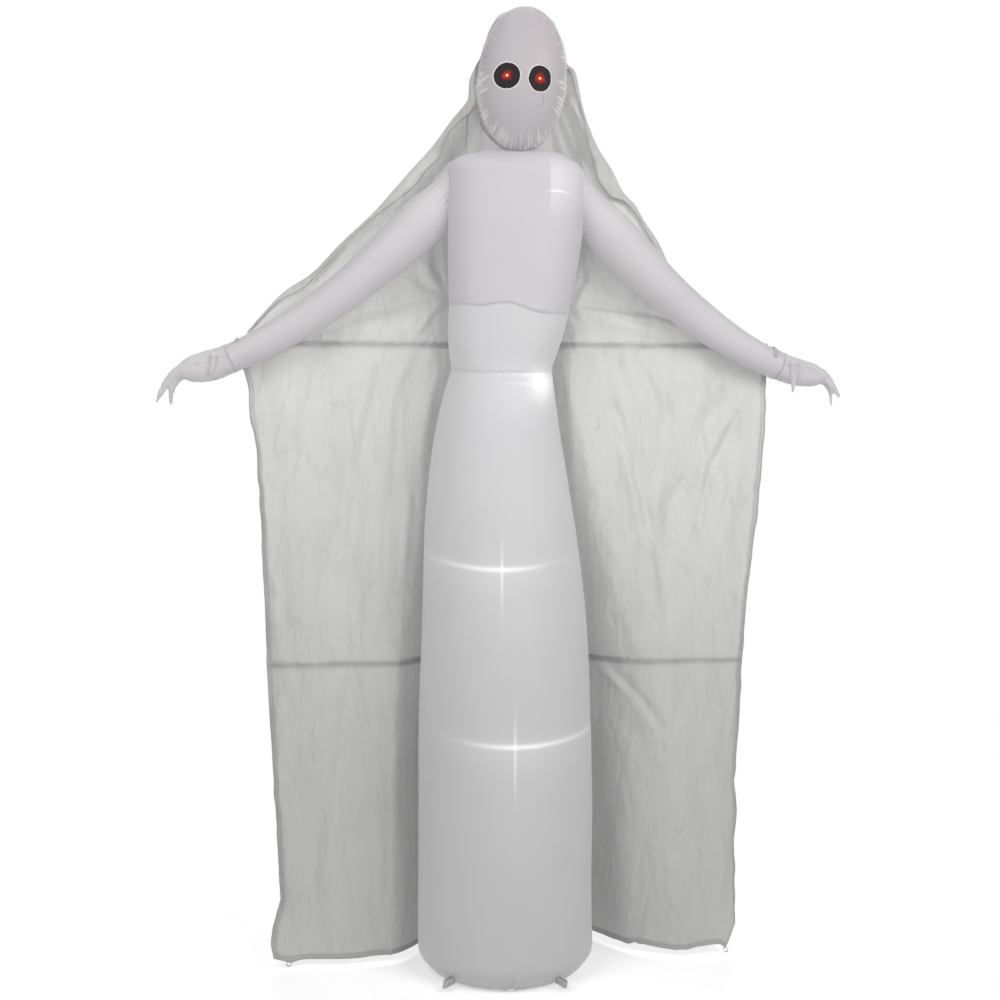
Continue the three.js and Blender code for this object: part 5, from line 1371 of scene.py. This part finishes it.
def cape_pieces():
    sides = [(1, True), (1, False)]
    x, z = upper_places()
    upper = cape_tier("cape_upper_tier", x, z, [(0, True)], [UPPER_SEAM], "cape_upper")
    x, z = tier_places(UPPER_SEAM, float(LOWER_SEAM))
    middle = cape_tier("cape_middle_tier", x, z, sides, [UPPER_SEAM, LOWER_SEAM], "cape_middle")
    x, z = tier_places(LOWER_SEAM, hem_height(cape_across(np.full(len(COLUMNS), 60.0), COLUMNS)))
    lower = cape_tier("cape_lower_tier", x, z, [*sides, (0, False)], [LOWER_SEAM], "cape_lower")
    bands = []
    for name, seam in (("cape_upper_seam", UPPER_SEAM), ("cape_lower_seam", LOWER_SEAM)):
        half = 13 + 2 * unrest(COLUMNS * 40, 0 * COLUMNS, 1, 1, 140)
        z = seam + np.linspace(1, -1, 9)[:, None] * half
        x = mix(cape_edge(z, True) + 4, cape_edge(z, False) - 4, COLUMNS)
        points = np.stack([x, cape_face(x, z) + 4 + 1.2 * unrest(x, z, 22, 30, 141), z], axis=-1)
        band = grid_object(f"{name}_strip", points, flip=True, seam=np.abs(z - seam) - 9)
        settle(band, band_cloth, f"{name}_band")
        bands.append(band)
    facings = [facing_piece("left"), facing_piece("right")]


# Each facing's outer edge and its border
FACING = {
    "left": (
        OUTLINE_LEFT,
        [(-960, 2446), (-860, 2540), (-767, 2593), (-672, 2693), (-596, 2779), (-495, 2870), (-378, 2960),
         (-306, 3037), (-267, 3080), (-246, 3116), (-236, 3155), (-208, 3203), (-113, 3285), (-112, 3441)],
    ),
    "right": (
        OUTLINE_RIGHT,
        [(222, 3470), (258, 3400), (270, 3348), (300, 3250), (318, 3165), (338, 3080), (354, 3015),
         (409, 2955), (458, 2935), (523, 2871), (590, 2745), (640, 2665)],
    ),
}
FACING_SHARES = [0, 0.06, 0.14, 0.24, 0.36, 0.5, 0.62, 0.74, 0.84, 0.91, 0.96, 1.0, 1.0, 0.97, 0.92]
FACING_FORWARD = [0, 3, 6, 9, 12, 14, 16, 18, 19.5, 20, 19, 16, 13, 11, 10.5]


def facing_piece(name):
    """The cape's free top edge, turned forward over itself with a rolled border."""
    outline, border = FACING[name]
    (outer_x, outer_z), (inner_x, inner_z) = spline(outline, FACING_STEPS).T, spline(border, FACING_STEPS).T
    column = np.arange(FACING_STEPS)
    forward = np.array(FACING_FORWARD)[:, None]
    share = np.array(FACING_SHARES)[:, None] * (1 + 0.10 * unrest(column, 0 * column, 9, 9, 151))
    x, z = mix(outer_x, inner_x, share), mix(outer_z, inner_z, share)
    ends = np.sin(np.linspace(0.12, math.pi - 0.12, FACING_STEPS)) ** 0.5
    wave = 3 * unrest(column + 0 * share, share * 40, 8, 20, 152)
    face = cape_face(x, z)
    base = mix(cape_face(outer_x + 0 * x, outer_z + 0 * z), face, 0.5)
    y = np.minimum(base, face) - (forward * 1.25 + wave * clamp(share * 3)) * ends - 1
    points = np.stack([x, y, z], axis=-1)
    # The facing takes the cape's painted shade and painted light, a little weaker.
    obj = grid_object(f"{name}_hood_facing", points, seam=(1 - share) * 60 - 12, tone=0.7 * cape_shade(x, z))
    return settle(obj, cape_cloth)


# Webbing
def ribbon(name, node, path, width, across, thick=1.8):
    """A flat strap along a path of points. across gives the strap's own width direction."""
    path = spline(path, RIBBON_STEPS)
    along = np.gradient(path, axis=0)
    along /= np.linalg.norm(along, axis=1, keepdims=True)
    side = np.asarray(across, float)
    side = side - along * np.sum(along * side, axis=1, keepdims=True)
    side /= np.linalg.norm(side, axis=1, keepdims=True)
    face = np.cross(along, side)
    half = [(-0.5, -0.5), (-0.5, 0.5), (-0.25, 0.62), (0.25, 0.62)]
    outline = half + [(-a, -b) for a, b in half]
    rings = [path + side * (width * a) + face * (thick * b) for a, b in outline]
    points, faces = loft(np.transpose(np.array(rings), (1, 0, 2)))
    obj = mesh_object(name, points, faces, shade_smooth=True)
    length = np.sum(np.linalg.norm(np.diff(path, axis=0), axis=1))
    run = np.repeat(np.linspace(0, 1, RIBBON_STEPS) * length, len(outline))
    over = np.tile([a * width for a, _ in outline], RIBBON_STEPS)
    set_flat_map(obj.data, np.stack([over, run], -1)[corner_points(obj.data)] * MM)
    return settle(obj, webbing, node)


def base_loops():
    """Four tether loops of webbing that leave the foot and droop to the ground."""
    for i, degrees in enumerate((-129, -51, 51, 129)):
        angle = math.radians(degrees)
        out = np.array([math.cos(angle), math.sin(angle), 0])
        side = np.array([-math.sin(angle), math.cos(angle), 0])
        radius = float(body_halves(34)[0])
        start, end = radius - 6, radius + 44
        places = [
            (start, -8, 36), (start + 22, -8.5, 34), (end - 9, -8, 30), (end - 1.5, -4.5, 28), (end, 0, 27.5),
            (end - 1.5, 4.5, 28), (end - 9, 8, 30), (start + 22, 8.5, 32), (start, 8, 34),
        ]
        path = [out * far + side * aside + (0, 0, z) for far, aside, z in places]
        tilt = 0.25 if i % 2 else -0.3
        ribbon(f"base_loop_{i + 1}_strap", f"base_loop_{i + 1}", path, 24, out * tilt + (0, 0, 1))


def small_straps():
    for name in ("left_corner_loop", "right_corner_loop"):
        low, high = node_box(name)
        centre = (low + high) / 2
        radius = (high[0] - low[0]) / 2 - 1
        angle = np.linspace(-0.5 * math.pi + 0.05, 1.5 * math.pi - 0.05, 14)
        path = [centre + (radius * math.cos(a + math.pi), 0, radius * math.sin(a + math.pi)) for a in angle]
        ribbon(f"{name}_strap", name, path, 12, (0, 1, 0), thick=1.4)
    for name in ("left_cape_strap", "right_cape_strap"):
        low, high = node_box(name)
        middle = (low + high) / 2
        path = [(middle[0], low[1] + 1, middle[2]), middle - (0, 0, 1.5), (middle[0], high[1] - 1, middle[2])]
        ribbon(f"{name}_web", name, path, 24, (0, 0, 1))
    low, high = node_box("hood_tack")
    middle = (low + high) / 2
    path = [(middle[0], low[1] + 3, middle[2]), middle, (middle[0], high[1] - 3, middle[2])]
    ribbon("hood_tack_web", "hood_tack", path, 84, (1, 0, 0), thick=3)
    for name, side in SIDES.items():
        wrist_tie(name, side)
    places = [(0, 40), (12, 240), (38, 840), (-19, 1514), (133, 2230), (228, 2940), (208, NECK_SEAT - 12)]
    ribbon("light_strap_web", "light_strap", [(x, 19, z) for x, z in places], 20, (1, 0, 0), thick=1.6)


def wrist_tie(name, side):
    """A narrow band around the wrist that holds the cape's corner."""
    centre, along, across, up, _ = (np.array(v) for v in arm_frame(side, WRIST_TIE_AT))
    front = -side["sign"] * across
    radius = float(arm_radius(WRIST_TIE_AT)) + WRIST_TIE_CLEAR
    last = 0.6 if name == "left" else 1.3
    path = [centre + radius * (math.sin(a) * front + math.cos(a) * up) for a in np.linspace(-2.0, last, 12)]
    ribbon(f"{name}_wrist_tie", f"{name}_wrist_tab", path, 13, along, thick=1.4)


# Foot, weights, sleeve, zip
def foot_pieces():
    angle = around(160)[None, :]
    radius = np.concatenate([[0.5, 12], spaced(25, 210, 10), [214, 215]])[:, None]
    x, y = radius * np.cos(angle), radius * np.sin(angle)
    z = 2.2 + 0.5 * unrest(x, y, 60, 60, 161) - 1.6 * (radius > 213)
    points = np.stack([x, y, z + 0 * x], -1)
    obj = grid_object("base_panel_cloth", points, closed=True, flip=True, seam=radius - 205 + 0 * angle)
    settle(obj, canvas, "base_panel")
    for i, name in enumerate(("left", "right")):
        weight_bag(name, (i * 2 - 1) * 78)
    sleeve_low, sleeve_high = node_box("fan_sleeve")
    run = np.linspace(sleeve_low[1], sleeve_high[1], 34)[:, None]
    gather = unrest(angle * 100, run, 11, 60, 171) * bell(run - sleeve_high[1] + 12, 22)
    radius = 97.4 + 1.2 * gather + 0.6 * unrest(angle * 100, run, 40, 40, 172)
    points = np.stack([radius * np.cos(angle), run + 0 * angle, FAN_HEIGHT + radius * np.sin(angle)], -1)
    seam = sleeve_high[1] - run - 6 + 0 * angle
    obj = grid_object("fan_sleeve_cloth", points, closed=True, flip=True, seam=seam)
    settle(obj, canvas, "fan_sleeve")


def weight_bag(name, x0):
    """A sewn bag that the sand inside pushes out between its seams."""
    level = np.sin(np.linspace(-1, 1, 40) * math.pi / 2)[:, None]
    angle = around(96)[None, :]
    drawn = np.sqrt(np.maximum(1 - 0.8 * level ** 4, 0)) * np.where(np.abs(level) > 0.999, 0.02, 1)
    x, y = rounded(angle, 58 * drawn, 102 * drawn, 4)
    z = 33.4 + 29 * level + 1.2 * unrest(x, y, 26, 26, 181) * clamp(level + 0.6)
    bulge = 1 + 0.02 * unrest(angle * 80, z, 18, 30, 182)
    points = np.stack([x * bulge + x0, y * bulge - 38, z], -1)
    points[..., 2] = np.clip(points[..., 2], 3.6, 63)
    obj = grid_object(f"{name}_weight_bag_cloth", points, closed=True, seam=np.abs(z - 33.4) - 3)
    settle(obj, sandbag, f"{name}_weight_bag")


def zip_piece():
    """Woven tape on the body with its two rows of coils and its end stops."""
    face = node_box("zip_tape")[1][1] - 4
    z = spaced(ZIP_LOW, ZIP_LOW + ZIP_LENGTH, 8)[:, None]
    x = np.linspace(-15, 15, 13)[None, :]
    radius, _, _ = body_halves(z)
    y = np.sqrt(np.maximum(radius ** 2 - (x - body_shift(z)) ** 2, 0)) + 2
    y = mix(y, face - 0.4, bell(x, 6) + 0 * z)
    points = np.stack([x + 0 * z, y, z + 0 * x], -1)
    tape = grid_object("zip_tape_cloth", points, flip=True, seam=13 - np.abs(x) + 0 * z)
    settle(tape, webbing, "zip_tape")
    root = [(-1, 0, -0.8), (1, 0, -0.8), (1, 0, 0.8), (-1, 0, 0.8)]
    tooth = np.array([*root, (-0.8, 1, -0.5), (0.8, 1, -0.5), (0.8, 1, 0.5), (-0.8, 1, 0.5)])
    sides = ((0, 1, 2, 3), (7, 6, 5, 4), (0, 4, 5, 1), (1, 5, 6, 2), (2, 6, 7, 3), (3, 7, 4, 0))
    depth = face - 0.2
    blocks = [
        ((side * 1.3, depth, ZIP_LOW + 8 + TOOTH_PITCH * i + side * 0.6), (1.5, 2.5, 1.0))
        for i in range(int((ZIP_LENGTH - 16) / TOOTH_PITCH)) for side in (-1, 1)
    ]
    blocks += [((0, depth, z), (5.6, 3.8, 3.4)) for z in (ZIP_LOW + 3, ZIP_LOW + ZIP_LENGTH - 3)]
    corners, faces = [], []
    for place, size in blocks:
        base = len(corners)
        corners += (np.array(place) + tooth * size).tolist()
        faces += [tuple(base + i for i in corner) for corner in sides]
    settle(mesh_object("zip_teeth", corners, faces), sheath)


def cad_finishes():
    finishes = {
        "fan_housing": plastic, "fan_grille": plastic, "impeller": plastic, "cord_gland": plastic,
        "fan_clamp_band": steel, "motor": steel, "fan_shaft": steel, "zip_slider": steel, "zip_pull": steel,
        "front_bush": brass, "rear_bush": brass, "lamp_lead": sheath, "eye_lead": sheath,
        "left_eye_lamp": eye_lens, "right_eye_lamp": eye_lens,
    }
    finishes.update({f"grille_screw_{i}": steel for i in (1, 2, 3)})
    finishes.update({f"lamp_{i}": pod_lens for i in (1, 2, 3, 4)})
    for name, material in finishes.items():
        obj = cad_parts[name]
        if not obj.material_slots:
            obj.data.materials.append(material)
        for entry in obj.material_slots:
            entry.material = material


body_pieces()
neck_piece()
head_pieces()
for eye_name, eye_x in EYES.items():
    eye_piece(eye_name, eye_x)
for side_name, side_facts in SIDES.items():
    arm_piece(side_name, side_facts)
    hand_piece(side_name, side_facts)
cape_pieces()
base_loops()
small_straps()
foot_pieces()
zip_piece()
cad_finishes()


# Floor, backdrop and lights
def seen_share(nodes):
    """1 on the rays that show a surface to the camera, straight or by a mirror, and 0 on those that light."""
    path = nodes.node("ShaderNodeLightPath").outputs
    mirrored = nodes.math("MAXIMUM", path["Is Glossy Ray"], path["Is Transmission Ray"])
    return nodes.math("MAXIMUM", path["Is Camera Ray"], mirrored)


def floor():
    """A pale floor that fades into the white surround."""
    angle = around(96)[None, :]
    radius = np.concatenate([[1], spaced(300, 14000, 900)])[:, None]
    points = np.stack([radius * np.cos(angle), radius * np.sin(angle), -1 + 0 * radius * angle], -1)
    obj = grid_object("floor", points, closed=True, flip=True)
    nodes = Nodes("floor_white")
    place = nodes.place()
    away = nodes.vector("LENGTH", place).outputs["Value"]
    fine = nodes.noise(place, 3.0)
    nodes.link(nodes.blend(fine, linear(240, 240, 241), linear(245, 245, 245)), "Base Color")
    nodes.set(Roughness=0.9, Specular_IOR_Level=0.1, Emission_Color=(1, 1, 1, 1))
    seen = seen_share(nodes)
    nodes.link(nodes.math("MULTIPLY", seen, FLOOR_LIFT), "Emission Strength")
    glow = nodes.node("ShaderNodeEmission", {"Color": (1, 1, 1, 1), "Strength": 1.0})
    share = nodes.math("MULTIPLY", nodes.range(away, 0.8, 1.9), seen)
    nodes.mix_in(share, glow)
    obj.data.materials.append(nodes.owner)


def sky():
    """Soft even light from all round, behind a plain white background."""
    nodes = Nodes("studio", of_world=True)
    nodes.set(Color=(1, 1, 1, 1), Strength=WORLD_LIGHT)
    white = nodes.node("ShaderNodeBackground", {"Color": (1, 1, 1, 1), "Strength": 1.0})
    nodes.mix_in(seen_share(nodes), white)
    bpy.context.scene.world = nodes.owner


def soft_light(name, place, target, size, power):
    data = bpy.data.lights.new(name, "AREA")
    data.shape = "RECTANGLE"
    data.size, data.size_y = size
    data.energy = power
    lamp = new_object(name, data)
    lamp.location = place
    lamp.rotation_euler = (Vector(target) - Vector(place)).to_track_quat("-Z", "Y").to_euler()


floor()
sky()
soft_light("key", (-2.6, -4.4, 5.2), (0, 0, 2.4), (3.4, 2.4), 140)
soft_light("fill", (3.2, -4.2, 4.6), (0, 0, 2.4), (3.4, 2.4), 175)
soft_light("top", (0.2, 0.6, 6.6), (0, 0, 2.0), (3.6, 3.0), 30)
soft_light("back", (0.0, 4.6, 4.4), (0, 0, 2.4), (4.0, 3.0), 160)

bpy.context.scene.view_settings.view_transform = "Standard"
